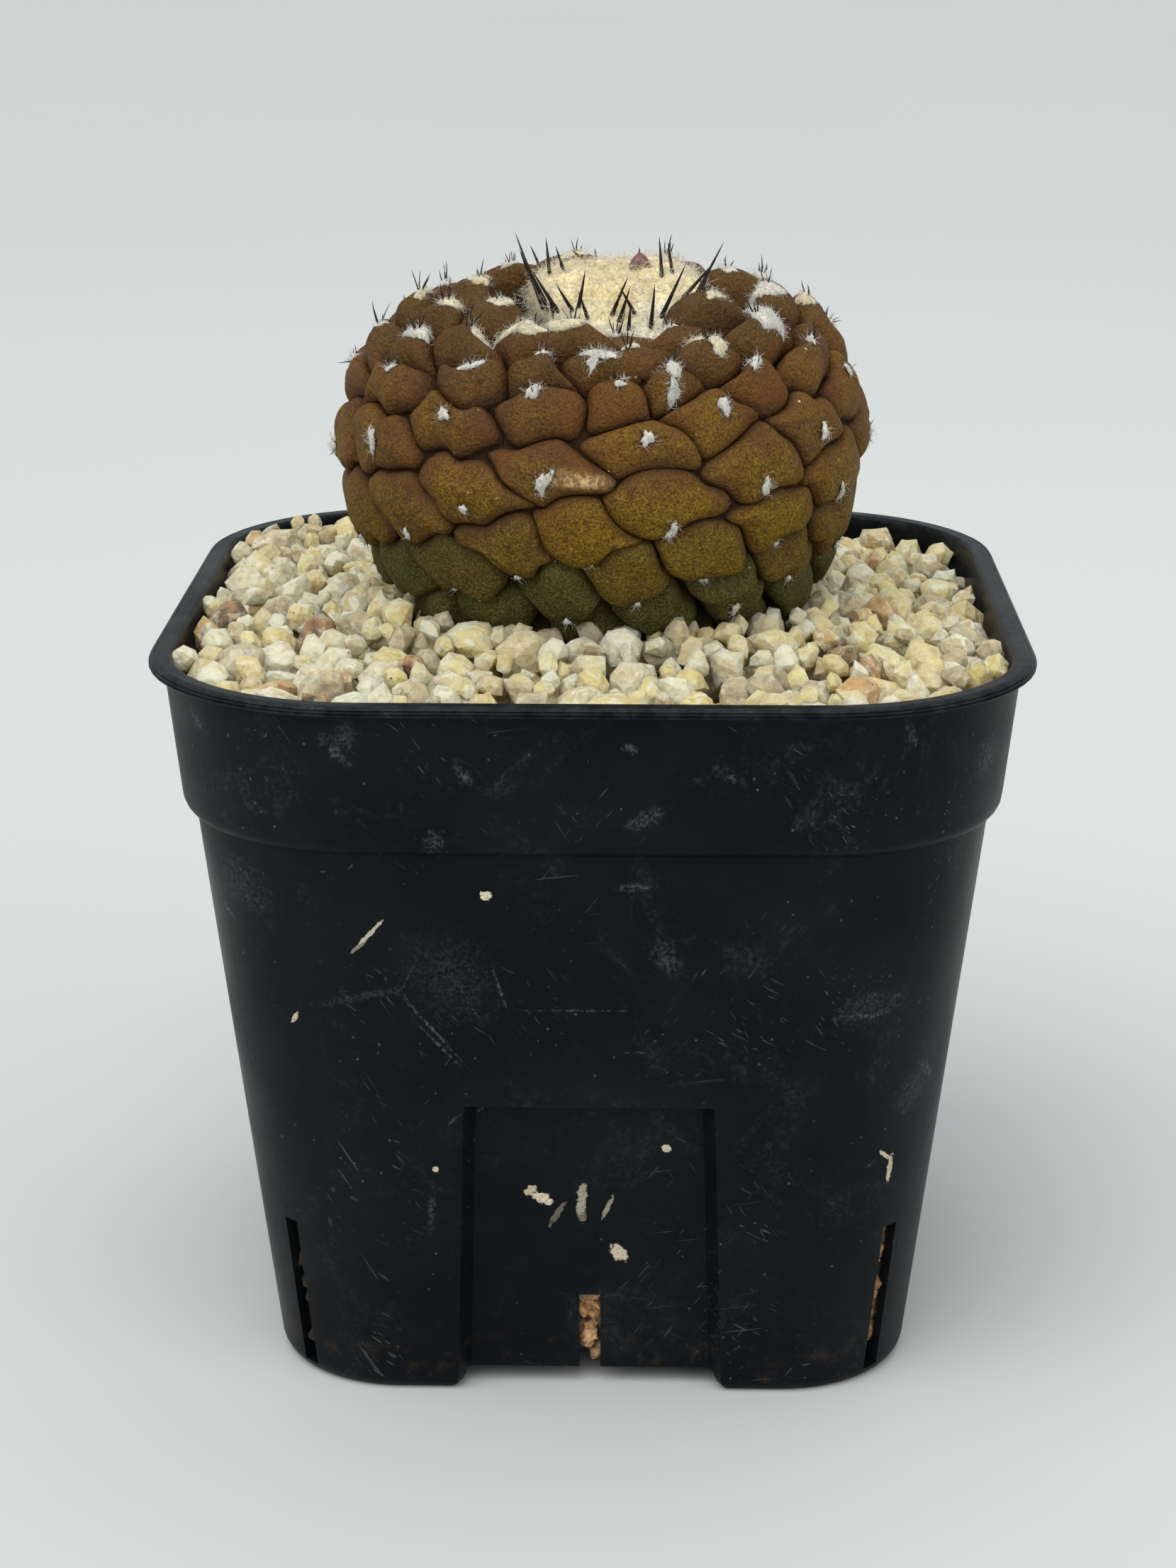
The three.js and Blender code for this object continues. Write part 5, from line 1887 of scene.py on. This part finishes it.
@dataclass
class Skin:
    """Dense skin over the tubercles, with the crown hollow and the tap root."""

    form: PlantForm
    edge_step: float = 0.78
    rings: tuple[float, ...] = (0.13, 0.26, 0.38, 0.5, 0.61, 0.71, 0.79, 0.86, 0.91, 0.95, 0.98, 1.0)
    hollow: Rows = ((9, 107.7), (4.6, 107))
    hollow_floor: float = 106.8
    root: Rows = ((17.5, 69.6), (10.5, 67.2), (6.2, 62), (6.6, 54), (5, 42), (2.6, 30))
    root_tip: float = 24.0
    seed: int = 8
    dimple: Pair = (0.42, 1.0)
    wrinkle: Pair = (0.075, 2.6)
    lumps: Rows = ((0.16, 0.26), (0.75, 0.055))
    green: dict[int, float] = field(default_factory=lambda: {
        18: 0.15, 21: 0.25, 23: 0.7, 24: 0.3, 26: 0.45, 28: 1.0, 29: 0.4})
    sunny_sides: Rows = ((0.5, 0.85, 1), (-2.4, 0.9, 0.75))
    belt: Pair = (89.5, 8.5)
    weld: float = 0.004
    finish: PlantSkin = PlantSkin()

    def border(self, ground: Array) -> Array:
        """Border of a tubercle cut into short steps.

        Args:
            ground: polygon of the tubercle.

        Returns:
            the points of the border.
        """
        made = []
        for start, end in zip(ground, np.roll(ground, -1, axis=0)):
            steps = max(1, round(float(np.linalg.norm(np.diff(self.form.in_crease([start, end]), axis=0)))
                                 / self.edge_step))
            made += [start + (end - start) * k / steps for k in range(steps)]
        return np.array(made)

    def shade(self, cell: Tubercle, angle: Array, height: Array, share: Array, tone: float) -> dict[str, Array]:
        """Numbers that the finish reads, over one tubercle.

        Args:
            cell: the tubercle.
            angle: angle of each vertex.
            height: height of each vertex.
            share: how near each vertex is to the border.
            tone: chance number of the tubercle, from 0 to 1.

        Returns:
            Values by name.
        """
        sunny = sum(weight * np.exp(-(((angle - middle + math.pi) % TURN - math.pi) / width) ** 2)
                    for middle, width, weight in self.sunny_sides)
        belt = np.exp(-((height - self.belt[0]) / self.belt[1]) ** 2)
        olive = (0.2 + 0.8 * sunny * belt + 0.22 * belt + 0.22 * (tone - 0.5)) * (1 - 0.85 * share ** 3)
        low = self.green.get(cell.index, 1.0 if cell.index >= 30 else 0.4 if cell.index >= 22 else 0.0)
        crown = np.clip(smooth_step((height - 104.5) / 5.5) * (0.45 + 0.5 * tone), 0, 0.92) * (1 - 0.5 * share ** 3)
        return {"crease": share, "olive": np.clip(olive, 0, 1), "crown": crown,
                "low": np.full(len(angle), low) + (1 - low) * smooth_step((79.5 - height) / 4.0)}

    def build(self) -> Thing:
        """Builds the skin.

        Returns:
            the skin.
        """
        form = self.form
        rng = np.random.default_rng(self.seed)
        points, faces, values = [], [], {key: [] for key in ("crease", "olive", "crown", "low", "scar")}
        rims: dict[str, list[float]] = {"foot": [], "crown": []}
        count = 0
        for number, (cell, ground) in enumerate(zip(form.tubercles, form.grounds)):
            if len(ground) < 3:
                continue
            border = self.border(ground)
            apex = np.array(cell.apex)
            flatness = form.flatness(cell)
            places = np.vstack([apex, *[apex + ring * (border - apex) for ring in self.rings]])
            reach = form.share_at(number, border)
            share = np.concatenate([[0.0], np.minimum(np.outer(self.rings, reach).ravel(), 1)])
            swell = np.sqrt(np.maximum(1 - share ** flatness, 0))
            made = form.on_plant(places[:, 0], places[:, 1], swell, cell.growth)
            radius = float(form.column(cell.areole, 1))
            away = (places - [cell.angle, cell.areole]) * radius
            distance = np.hypot(away[:, 0], away[:, 1])
            out = unit(np.column_stack([np.sin(places[:, 0]), -np.cos(places[:, 0]), np.zeros(len(places))]))
            inner = 1 - share ** 6
            sunk = self.dimple[0] * np.exp(-(distance / self.dimple[1]) ** 2)
            sunk += self.wrinkle[0] * np.exp(-((distance - 1.6) / self.wrinkle[1]) ** 2) * np.cos(
                9 * np.arctan2(away[:, 1], away[:, 0]) + cell.index) * (0.4 + rng.random())
            made = made - out * (sunk * inner)[:, None]
            shade = self.shade(cell, places[:, 0], made[:, 2], share, float(rng.random()))
            shade["scar"] = np.zeros(len(places))
            if cell.index == 0:
                near = np.exp(-((away[:, 0] - 3.4) / 2.6) ** 2 - ((away[:, 1] - 0.1) / 0.9) ** 2)
                shade["scar"] = np.clip(near * 1.2 - 0.1, 0, 1)
            for key, value in shade.items():
                values[key].append(value)
            points.append(made)
            edge = len(border)
            for i in range(edge):
                j = (i + 1) % edge
                faces.append((count, count + 1 + i, count + 1 + j))
                for ring in range(len(self.rings) - 1):
                    a, b = count + 1 + ring * edge + i, count + 1 + ring * edge + j
                    faces.append((a, a + edge, b + edge, b))
                for name, level in (("foot", 0.0), ("crown", form.end)):
                    if abs(border[i, 1] - level) < 1e-9:
                        rims[name].append(float(border[i, 0]))
            count += len(made)
        for name, level, rings, end, upward in (("crown", form.end, self.hollow, self.hollow_floor, True),
                                                ("foot", 0.0, self.root, self.root_tip, False)):
            more, more_faces = self.close(rims[name], level, rings, end, upward, count)
            points.append(more)
            faces += more_faces
            count += len(more)
            # Painted shade: the crown hollow and the root get the full crease value, so the finish paints them as dark
            # as the deepest crease; they are also painted green.
            for key in values:
                values[key].append(np.full(len(more), 1.0 if key in ("crease", "low") else 0.0))
        made = new_object("cactus_skin", form.lean_over(np.concatenate(points)), faces,
                          {key: np.concatenate(value) for key, value in values.items()})
        with editing(made.data) as sheet:
            bmesh.ops.remove_doubles(sheet, verts=sheet.verts, dist=self.weld * MM)
            bmesh.ops.recalc_face_normals(sheet, faces=sheet.faces)
        self.ripple(made)
        made.data.shade_smooth()
        return made

    def close(self, angles: Sequence[float], level: float, rings: Sequence[Pair], end: float,
              upward: bool, first: int) -> tuple[Array, list[tuple[int, ...]]]:
        """Closes an open rim with rings and a last point.

        Args:
            angles: angles of the rim's vertices.
            level: measure of the rim.
            rings: radius and height of each ring.
            end: height of the last point.
            upward: whether the closing faces look up.
            first: number of the first vertex.

        Returns:
            Points and faces.
        """
        wrapped = np.sort(np.mod(angles, TURN))
        wrapped = wrapped[np.diff(np.concatenate([[wrapped[-1] - TURN], wrapped])) > 1e-6]
        count = len(wrapped)
        levels = [self.form.on_plant(wrapped, np.full(count, level), np.zeros(count))]
        levels += [around(wrapped, radius, height) for radius, height in rings]
        points = np.vstack([*levels, [[0.0, 0.0, end]]])
        faces: list[tuple[int, ...]] = []
        last = first + len(points) - 1
        for i in range(count):
            j = (i + 1) % count
            for row in range(len(rings)):
                a, b = first + row * count + i, first + row * count + j
                faces.append((a, b, b + count, a + count) if upward else (a, a + count, b + count, b))
            a, b = first + len(rings) * count + i, first + len(rings) * count + j
            faces.append((a, b, last) if upward else (b, a, last))
        return points, faces

    def ripple(self, made: Thing) -> None:
        """Moves the skin by soft lumps along its normals.

        Args:
            made: object of the skin.
        """
        mesh = made.data
        for vertex, normal in zip(mesh.vertices, [v.vector.copy() for v in mesh.vertex_normals]):
            place = vertex.co / MM
            if place.z < 72:
                continue
            push = sum(depth * noise.noise(place * scale) for scale, depth in self.lumps)
            vertex.co += normal * (push * MM)
        mesh.update()

    def dress(self, piece: Thing) -> None:
        """Gives the skin its finish and hands it over."""
        paint(piece, self.finish.material())
        hand_over(piece, "cactus_skin", "cactus_body")


# ---- wool and spines


def fibre_shapes(name: str, length: float, thickness: float, curl: float, kinds: int, seed: int) -> Shapes:
    """Curled fibres that stand along +Z, in a collection.

    Args:
        name: name of the collection.
        length: length in millimetres.
        thickness: thickness in millimetres.
        curl: how far the fibre curls, in millimetres.
        kinds: number of shapes.
        seed: seed of the shapes.

    Returns:
        The collection.
    """
    rng = np.random.default_rng(seed)
    shapes = []
    for number in range(kinds):
        t = np.linspace(0, 1, 6)
        phase, waves, bow = rng.uniform(0, TURN), rng.uniform(0.5, 1.3), rng.uniform(-1, 1, 2)
        path = np.column_stack([
            curl * (bow[0] * t ** 2 + 0.35 * t * np.sin(waves * TURN * t + phase)),
            curl * (bow[1] * t ** 2 + 0.35 * t * np.cos(waves * TURN * t + phase)),
            length * t * (1 - 0.18 * t)])
        batch = Batch()
        batch.add_tube(path, thickness / 2 * (1 - 0.75 * t), 3)
        shapes.append(batch.build(f"{name}_{number:02d}"))
    return shelf(name, shapes)


@dataclass(frozen=True)
class Tuft:
    """Wool of one areole: number of its tubercle, then width, height and shift from the areole, in millimetres."""

    index: int
    width: float
    height: float
    right: float = 0.0
    up: float = 0.0
    cream: bool = False


WHITE_TUFTS = (
    (-38, 4, 2.6, -1.2), (-43, 3, 1.6, 0, 0.2), (-33, 3.2, 3.8, 0.8, -0.9), (-31, 3.2, 2.4, 0.2, -0.1),
    (-31, 0.8, 1.8, -0.9, -1.5), (-23, 2.9, 3.6, 0.2, -0.4), (-23, 1.2, 2.2, -0.2, -2.6), (-15, 1.7, 1.6),
    (-20, 1.2, 1), (-26, 1.7, 1.2, 0, 0.2), (-21, 2.1, 1.3), (-16, 1.1, 1), (-18, 1.6, 1, 0, 0.2),
    (-18, 0.8, 0.6, 0.3, -1), (-13, 1.4, 1.6), (-8, 0.8, 1.4), (-10, 1.4, 1.6), (-5, 1.1, 1.7, 0, 0.1),
    (-2, 0.7, 1.3), (-7, 0.8, 1.3), (-3, 1.5, 2.6), (0, 1.75, 2.25), (3, 1, 2), (8, 1.1, 2.3, 0, -0.2),
    (11, 0.8, 1.6), (5, 0.55, 0.8), (10, 0.6, 0.9), (13, 0.6, 0.8), (16, 0.5, 0.9), (18, 0.5, 0.6), (21, 0.6, 0.8),
    (31, 0.6, 0.9), (34, 0.5, 1), (23, 0.5, 0.8), (39, 0.6, 0.6), (26, 0.4, 0.5),
)
CREAM_TUFTS = (
    (-39, 6, 1.7, -1.6, -0.5), (-34, 4.4, 1.4, 1.6, 0.7), (-44, 5.2, 1.7, -0.6, -0.4), (-47, 3.2, 1.7, 0.4, 0.2),
    (-50, 3.6, 2, 0.6), (-46, 4.5, 2.4, 1.6, -0.4), (-36, 2.4, 1.3, 0.4, 0.4), (-28, 2.6, 1.8, -1, 0.6),
    (-28, 2.2, 2.6, 1.3, -0.5),
)
TUFTS = (*(Tuft(*row) for row in WHITE_TUFTS),
         *(Tuft(*row, *(0,) * (5 - len(row)), cream=True) for row in CREAM_TUFTS))


@dataclass
class Areoles:
    """Wool tufts and small spines of the tubercles."""

    form: PlantForm
    seed: int = 17
    spine_last: int = 26

    def tufts_of(self, cell: Tubercle, rng: np.random.Generator) -> tuple[Tuft, ...]:
        """Tufts of one tubercle: its own, or those of its age.

        Args:
            cell: the tubercle.
            rng: seeded draw.

        Returns:
            The tufts.
        """
        own = tuple(tuft for tuft in TUFTS if tuft.index == cell.index)
        if own or cell.index > 44:
            return own
        if cell.index <= -24:
            return (Tuft(cell.index, rng.uniform(2.2, 3.6), rng.uniform(1.4, 2.2), 0.0, 0.3, rng.random() < 0.5),)
        if cell.index <= 12:
            width, height, _ = rng.uniform((0.7, 0.9, 0.8), (1.5, 1.8, 1.3))
            return (Tuft(cell.index, width, height),)
        return (Tuft(cell.index, rng.uniform(0.4, 0.7), rng.uniform(0.5, 0.9)),)

    def pad(self, number: int, tuft: Tuft, rng: np.random.Generator) -> Array:
        """Felted pad that follows the skin, as a sheet of rings.

        Args:
            number: number of the tubercle.
            tuft: size and place of the wool.
            rng: seeded draw.

        Returns:
            Points by ring and by turn, the rim first.
        """
        cell = self.form.tubercles[number]
        radius = float(self.form.column(cell.areole, 1))
        turns = np.linspace(0, TURN, 26, endpoint=False)
        lobes = (1 + 0.15 * np.sin(3 * turns + rng.uniform(0, TURN)) + 0.12 * np.sin(5 * turns + rng.uniform(0, TURN))
                 + rng.uniform(-0.16, 0.16, len(turns)))
        out = self.form.seat(number, tuft.right, tuft.up)[3]
        rows = []
        thick = min(0.42, 0.15 + 0.1 * min(tuft.width, tuft.height))
        for reach, lift in ((1.04, -0.35), (0.98, 0.25), (0.82, 0.68), (0.55, 0.92), (0.26, 1.0), (0.02, 1.03)):
            across = tuft.right + reach * lobes * np.cos(turns) * tuft.width / 2
            up = tuft.up + reach * lobes * np.sin(turns) * tuft.height / 2
            skin = self.form.skin(number, np.column_stack([cell.angle + across / radius, cell.areole + up / radius]))
            wobble = rng.normal(0, 0.16, len(turns)) * (reach > 0.1)
            rows.append(skin + out * (thick * (lift + wobble))[:, None])
        return np.stack(rows)

    def build_tufts(self) -> dict[str, Thing]:
        """Builds the felted pads, white and cream ones apart.

        Returns:
            the pads by name.
        """
        rng = np.random.default_rng(self.seed)
        batches = {"tuft_pads_white": Batch(), "tuft_pads_cream": Batch()}
        for number, cell in enumerate(self.form.tubercles):
            if len(self.form.grounds[number]) < 3:
                continue
            for tuft in self.tufts_of(cell, rng):
                batches["tuft_pads_cream" if tuft.cream else "tuft_pads_white"].add_rings(self.pad(number, tuft, rng))
        return {name: batch.build(name, close=True) for name, batch in batches.items()}

    def dress_tufts(self, pads: dict[str, Thing]) -> None:
        """Grows fibres on the pads and hands both over.

        Args:
            pads: the pads by name.
        """
        finishes = {
            "tuft_pads_white": PlantWool("wool_white", (0.5, 0.46, 0.36), (0.52, 0.51, 0.47), reach=(12.0, 22.0)),
            "tuft_pads_cream": PlantWool("wool_pale_cream", (0.6, 0.47, 0.23), (0.58, 0.5, 0.32), reach=(9.0, 16.0)),
        }
        for i, (name, pad) in enumerate(pads.items()):
            material = finishes[name].material()
            fibres = fibre_shapes(f"tuft_fibre_{i}", 1.0, 0.055, 0.45, 8, self.seed + i)
            tree = FleeceTree(f"tuft_fleece_{i}", fibres, material)
            lay = tree.grow(f"{name}_fibres", pad, 10.0, (0.45, 1.35), 64.0, self.seed + i)
            clear_shelf(fibres)
            pad.data.materials.append(material)
            hand_over(join_pieces([pad, lay], name.replace("pads", "wool")), "wool")

    def build_spines(self) -> Thing:
        """Builds the small spines of the areoles.

        Returns:
            the spines.
        """
        rng = np.random.default_rng(self.seed + 5)
        places, turns, sizes, kinds, tones = [], [], [], [], []
        for number, cell in enumerate(self.form.tubercles):
            if cell.index > self.spine_last or len(self.form.grounds[number]) < 3:
                continue
            here, side, rise, out = self.form.seat(number)
            young = smooth_step((-cell.index - 4) / 20)
            count = int(rng.integers(3, 6)) if cell.index <= -6 else int(rng.integers(4, 7))
            offset = rng.uniform(0, TURN)
            for k in range(count):
                spin = offset + (k + rng.uniform(-0.25, 0.25)) / count * TURN
                splay = 1.6 - 0.8 * young
                way = unit(out + splay * (math.cos(spin) * side + math.sin(spin) * rise))
                if young > 0.3:
                    way = unit(way + np.array([0, 0, 0.55 * young]))
                turn = Vector(way).to_track_quat("Z", "Y").to_euler()
                length = rng.uniform(0.9, 1.7) + 1.5 * young * rng.random()
                places.append(here - out * 0.15 + 0.3 * (way - out))
                turns.append(tuple(turn))
                sizes.append((0.8 + 0.5 * young, 0.8 + 0.5 * young, length))
                kinds.append(int(rng.integers(0, 4)))
                tones.append(float(rng.random()))
        shapes = shelf("small_spines", [self.spine_shape(i) for i in range(4)])
        tree = ScatterTree("set_small_spines", shapes, SpineBark().material())
        piece = tree.set_on("areole_spines", np.array(places), np.array(turns), np.array(sizes), np.array(kinds),
                            np.array(tones), 0.0, self.seed)
        clear_shelf(shapes)
        return piece

    def spine_shape(self, number: int) -> Thing:
        """Small curved spine one millimetre long, along +Z.

        Args:
            number: number of the shape, in its name and bend.

        Returns:
            the spine.
        """
        rng = np.random.default_rng(self.seed * 10 + number)
        t = np.linspace(0, 1, 5)
        bend = rng.uniform(-0.32, 0.32, 2)
        batch = Batch()
        batch.add_tube(np.column_stack([bend[0] * t ** 2, bend[1] * t ** 2, t]), 0.085 * (1 - 0.72 * t), 4)
        return batch.build(f"small_spine_{number}")


@dataclass
class CrownWool:
    """Felt of cream wool in the crown, with loose fibres; it runs furthest out at the front."""

    form: PlantForm
    centre: Pair = (1.6, -0.6)
    reach: Rows = (
        (-180, 9.0), (-135, 9.5), (-90, 8.0), (-45, 8.5), (-20, 10.4), (0, 12.6), (15, 14.2),
        (30, 12.8), (50, 10.4), (90, 9.2), (135, 9.5), (180, 9.0))
    top: float = 113.6
    front_fall: Colour = (4.2, -2.0, 12.0)
    edge_fall: float = 1.5
    skirt: float = 3.2
    rows: int = 26
    turns: int = 90
    slope: float = 17.3
    middle: Pair = (-2.0, 113.0)
    seed: int = 23

    def place(self, share: Array, turn: Array) -> Array:
        """Points of the felt by share of its reach and by turn, before the plant leans.

        Args:
            share: share of the reach, 1 at the border.
            turn: angle from the front.

        Returns:
            Points in millimetres.
        """
        reach = share * table(self.reach, np.degrees((turn + math.pi) % TURN - math.pi))
        x = self.centre[0] + reach * np.sin(turn)
        y = self.centre[1] - reach * np.cos(turn)
        drop, start, span = self.front_fall
        height = self.top - drop * smooth_step((start - y) / span) - self.edge_fall * np.clip(share, 0, 1) ** 5
        return np.stack(np.broadcast_arrays(x, y, height), axis=-1)

    def seen_at(self, right: float, up: float) -> Array:
        """Point of the felt that the front shows right of the pot's middle and above the crown's.

        Args:
            right: step to the right, in millimetres.
            up: rise in the front view, in millimetres.

        Returns:
            The point.
        """
        share, turn = np.meshgrid(np.linspace(0, 1, 60), np.linspace(0, TURN, 180))
        ground = self.form.lean_over(self.place(share, turn)).reshape(-1, 3)
        upright, deep = self.view
        seen = ground[:, 2] * upright + ground[:, 1] * deep
        level = self.middle[1] * upright + self.middle[0] * deep
        return ground[int(np.argmin((ground[:, 0] - right) ** 2 + (seen - level - up) ** 2))]

    @property
    def view(self) -> Pair:
        """Share of a height and of a depth that the front view shows as rise."""
        return math.cos(math.radians(self.slope)), math.sin(math.radians(self.slope))

    def build(self) -> Thing:
        """Builds the felt.

        Returns:
            the felt.
        """
        turns = np.linspace(0, TURN, self.turns, endpoint=False)
        rows = []
        for share in [*np.linspace(1.0, 0.03, self.rows)]:
            points = self.place(np.full(self.turns, share), turns)
            for k in range(self.turns):
                spot = Vector(points[k])
                lump = 0.7 * noise.noise(spot * 0.42) + 0.38 * noise.noise(spot * 1.1) + 0.16 * noise.noise(spot * 2.6)
                points[k, 2] += lump * (0.35 + 0.65 * min(1.0, 3.0 * (1.02 - share)))
            rows.append(points)
        skirt = rows[0] - [0, 0, self.skirt]
        batch = Batch()
        batch.add_rings(self.form.lean_over(np.stack([skirt, *rows])))
        return batch.build("crown_felt", close=True)

    def dress(self, felt: Thing) -> None:
        """Grows the loose fibres and hands the wool over.

        Args:
            felt: object of the felt.
        """
        finish = PlantWool("wool_cream", (0.98, 0.8, 0.41), (0.95, 0.87, 0.64), (1.5, -2.0, 112.0), (6.5, 12.5))
        material = finish.material()
        pieces = []
        for number, (length, thick, curl, density, lay) in enumerate((
                (2.2, 0.055, 1.3, 7.0, 80.0), (1.5, 0.045, 0.9, 3.5, 48.0))):
            fibres = fibre_shapes(f"crown_fibre_{number}", length, thick, curl, 8, self.seed + number)
            tree = FleeceTree(f"crown_fleece_{number}", fibres, material)
            pieces.append(tree.grow(f"crown_fibres_{number}", felt, density, (0.6, 1.35), lay, self.seed + number))
            clear_shelf(fibres)
        felt.data.materials.append(material)
        hand_over(join_pieces([felt, pieces[0]], "crown_wool_felt"), "wool", "crown_wool")
        hand_over(join_pieces(pieces[1:], "crown_wool_loose"), "wool")


@dataclass
class CrownSpines:
    """Straight black needles in the crown wool.

    Each row has a foot, right of the pot's middle and above the crown's, then a reach and a rise, all as the front
    shows them.
    """

    wool: CrownWool
    radius: float = 0.27
    highest: float = 117.45
    buried: float = 1.2
    seed: int = 41
    needles: Rows = (
        (-6.65, 2.1, -1.4, 3.3), (-5.8, -3.3, -2.8, 7.5), (-7, -0.6, -1.3, 3.2), (-5.9, -5, -2.9, 5.6),
        (-3.7, -4.7, -2.8, 4.1), (-4.8, -0.5, -0.4, 4), (-4.8, -5.2, -0.5, 2), (-2.2, -4.8, -1.85, 2.7),
        (-1.8, -4.4, 0.8, 3.75), (-0.6, -5.8, -1, 2.7), (1.8, -5.3, 1.6, 3.5), (2.7, -5.7, 1.1, 3),
        (4.1, -5.3, -1.6, 2.6), (3.7, -7.1, 0.2, 2.5), (5.7, -6.5, 0.4, 3.9), (6.7, -5.6, 2.6, 5.3),
        (6.9, -0.8, -0.3, 4.1), (7.9, -0.4, -0.5, 3.2), (7.7, 1.35, 0, 2.8), (4.4, 2.3, 0.15, 2), (9, -3.3, 3.3, 3.5),
        (10.6, -4.5, 3.5, 6.4), (11.1, -5.2, 2.2, 3.4), (-3.3, 0.25, -0.9, 2.6), (-1.3, 2.1, -1.5, 1.4),
        (-0.1, 2.1, -0.1, 1.5))

    def build(self) -> Thing:
        """Builds the needles, each at the place in the felt that the front shows it at.

        Returns:
            the needles.
        """
        rng = np.random.default_rng(self.seed)
        batch = Batch()
        upright, deep = self.wool.view
        for right, up, reach, rise in self.needles:
            foot = self.wool.seen_at(right, up)
            back = 0.12 * (foot[1] - self.wool.middle[0]) + rng.uniform(-0.3, 0.3)
            back = max(back, (rise - (self.highest - foot[2]) * upright) / deep)
            way = np.array([reach, back, (rise - back * deep) / upright])
            t = np.linspace(0, 1, 8)[:, None]
            start = foot - unit(way) * self.buried
            path = start + (foot + way - start) * t + rng.uniform(-0.12, 0.12, 3) * (t * (1 - t)) * 2
            batch.add_tube(path, self.radius * (1 - 0.88 * t[:, 0] ** 1.4), 7)
        return batch.build("crown_spines")

    def dress(self, piece: Thing) -> None:
        """Gives the needles their finish and hands them over."""
        paint(piece, SpineBark().material())
        hand_over(piece, "wool")


@dataclass
class Bud:
    """Small plum-brown bud in the wool at the back of the crown."""

    wool: CrownWool
    seen: Pair = (4.55, 0.45)
    sunk: float = 0.6
    radius: float = 1.15
    height: float = 2.3

    def build(self) -> Thing:
        """Builds the bud.

        Returns:
            the bud.
        """
        foot = self.wool.seen_at(*self.seen)
        turns = np.linspace(0, TURN, 20, endpoint=False)
        rows = []
        for share, wide in ((0.0, 0.75), (0.2, 1.0), (0.45, 0.96), (0.68, 0.74), (0.86, 0.46), (0.96, 0.22),
                            (1.0, 0.05)):
            fold = 1 + 0.1 * np.cos(5 * turns + 2 * share)
            rows.append(foot + np.column_stack([
                self.radius * wide * fold * np.cos(turns), self.radius * wide * fold * np.sin(turns),
                np.full(len(turns), self.height * share - self.sunk)]))
        batch = Batch()
        batch.add_rings(np.stack(rows))
        return batch.build("crown_bud", close=True)

    def dress(self, piece: Thing) -> None:
        """Gives the bud its finish and hands it over."""
        paint(piece, BudSkin().material())
        hand_over(piece, "wool")


# ---- studio


@dataclass
class Studio:
    """Pale floor, soft light and the camera."""

    camera_place: Colour = (6.08, -333.82, 160.55)
    target: Colour = (-0.874, 0.0, 56.63)
    focal_px: float = 4471.9
    frame_px: tuple[int, int] = (1659, 2212)
    sensor: float = 36.0

    @staticmethod
    def aimed(name: str, data: bpy.types.ID, place: Colour, aim: Colour) -> Thing:
        """Adds a light or camera at a place, turned to its aim, both in metres.

        Args:
            name: name of the object.
            data: the light or camera.
            place: where it stands.
            aim: point it is turned to.

        Returns:
            the object.
        """
        made = add_object(name, data)
        made.location = place
        made.rotation_euler = (Vector(aim) - Vector(place)).to_track_quat("-Z", "Y").to_euler()
        return made

    def build(self) -> None:
        """Builds the floor, lights, surroundings and camera."""
        mesh = bpy.data.meshes.new("studio_floor")
        with editing(mesh) as sheet:
            bmesh.ops.create_grid(sheet, x_segments=4, y_segments=4, size=6.0)
        mesh.materials.append(StudioFloor().material())
        add_object("studio_floor", mesh)
        for name, kind, place, aim, settings in (
                ("key_light", "SUN", (0.0, 0.0, 0.0), (0.36, 0.58, -1.0),
                 {"energy": 2.35, "color": (1.0, 0.985, 0.96), "angle": math.radians(62)}),
                ("fill_light", "AREA", (0.62, -0.5, 0.4), (0.0, 0.0, 0.07),
                 {"energy": 2.0, "color": (1.0, 0.99, 0.95), "size": 0.6}),
                ("top_light", "AREA", (0.05, 0.22, 0.8), (0.0, 0.0, 0.09),
                 {"energy": 1.2, "color": (1.0, 1.0, 1.0), "size": 0.55})):
            self.aimed(name, adjust(bpy.data.lights.new(name, kind), **settings), place, aim)
        scene = bpy.context.scene
        scene.world = adjust(bpy.data.worlds.new("studio_world"), use_nodes=True)
        Tree(scene.world.node_tree).fill(scene.world.node_tree.nodes["Background"],
                                         {"Color": (0.94, 0.98, 1.0), "Strength": 0.62})
        scene.view_settings.view_transform = "Standard"
        data = adjust(bpy.data.cameras.new("camera"), sensor_fit="VERTICAL", sensor_height=self.sensor,
                      lens=self.focal_px / self.frame_px[1] * self.sensor, clip_start=0.01, clip_end=30.0)
        place, target = ([value * MM for value in spot] for spot in (self.camera_place, self.target))
        scene.camera = self.aimed("camera", data, place, target)


# ---- assembly


def main() -> None:
    """Builds each sub-assembly in order and reports it."""
    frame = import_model()
    pot = Pot()
    pot.dress(pot.build())
    gravel = Gravel(pot)
    gravel.dress(gravel.build())
    grit = SlotGrit(pot)
    grit.dress(grit.build(), frame)
    form = PlantForm()
    skin = Skin(form)
    skin.dress(skin.build())
    areoles = Areoles(form)
    areoles.dress_tufts(areoles.build_tufts())
    spines = areoles.build_spines()
    hand_over(spines, "cactus_skin")
    wool = CrownWool(form)
    wool.dress(wool.build())
    needles = CrownSpines(wool)
    needles.dress(needles.build())
    bud = Bud(wool)
    bud.dress(bud.build())
    Studio().build()


if __name__ == "__main__":
    main()
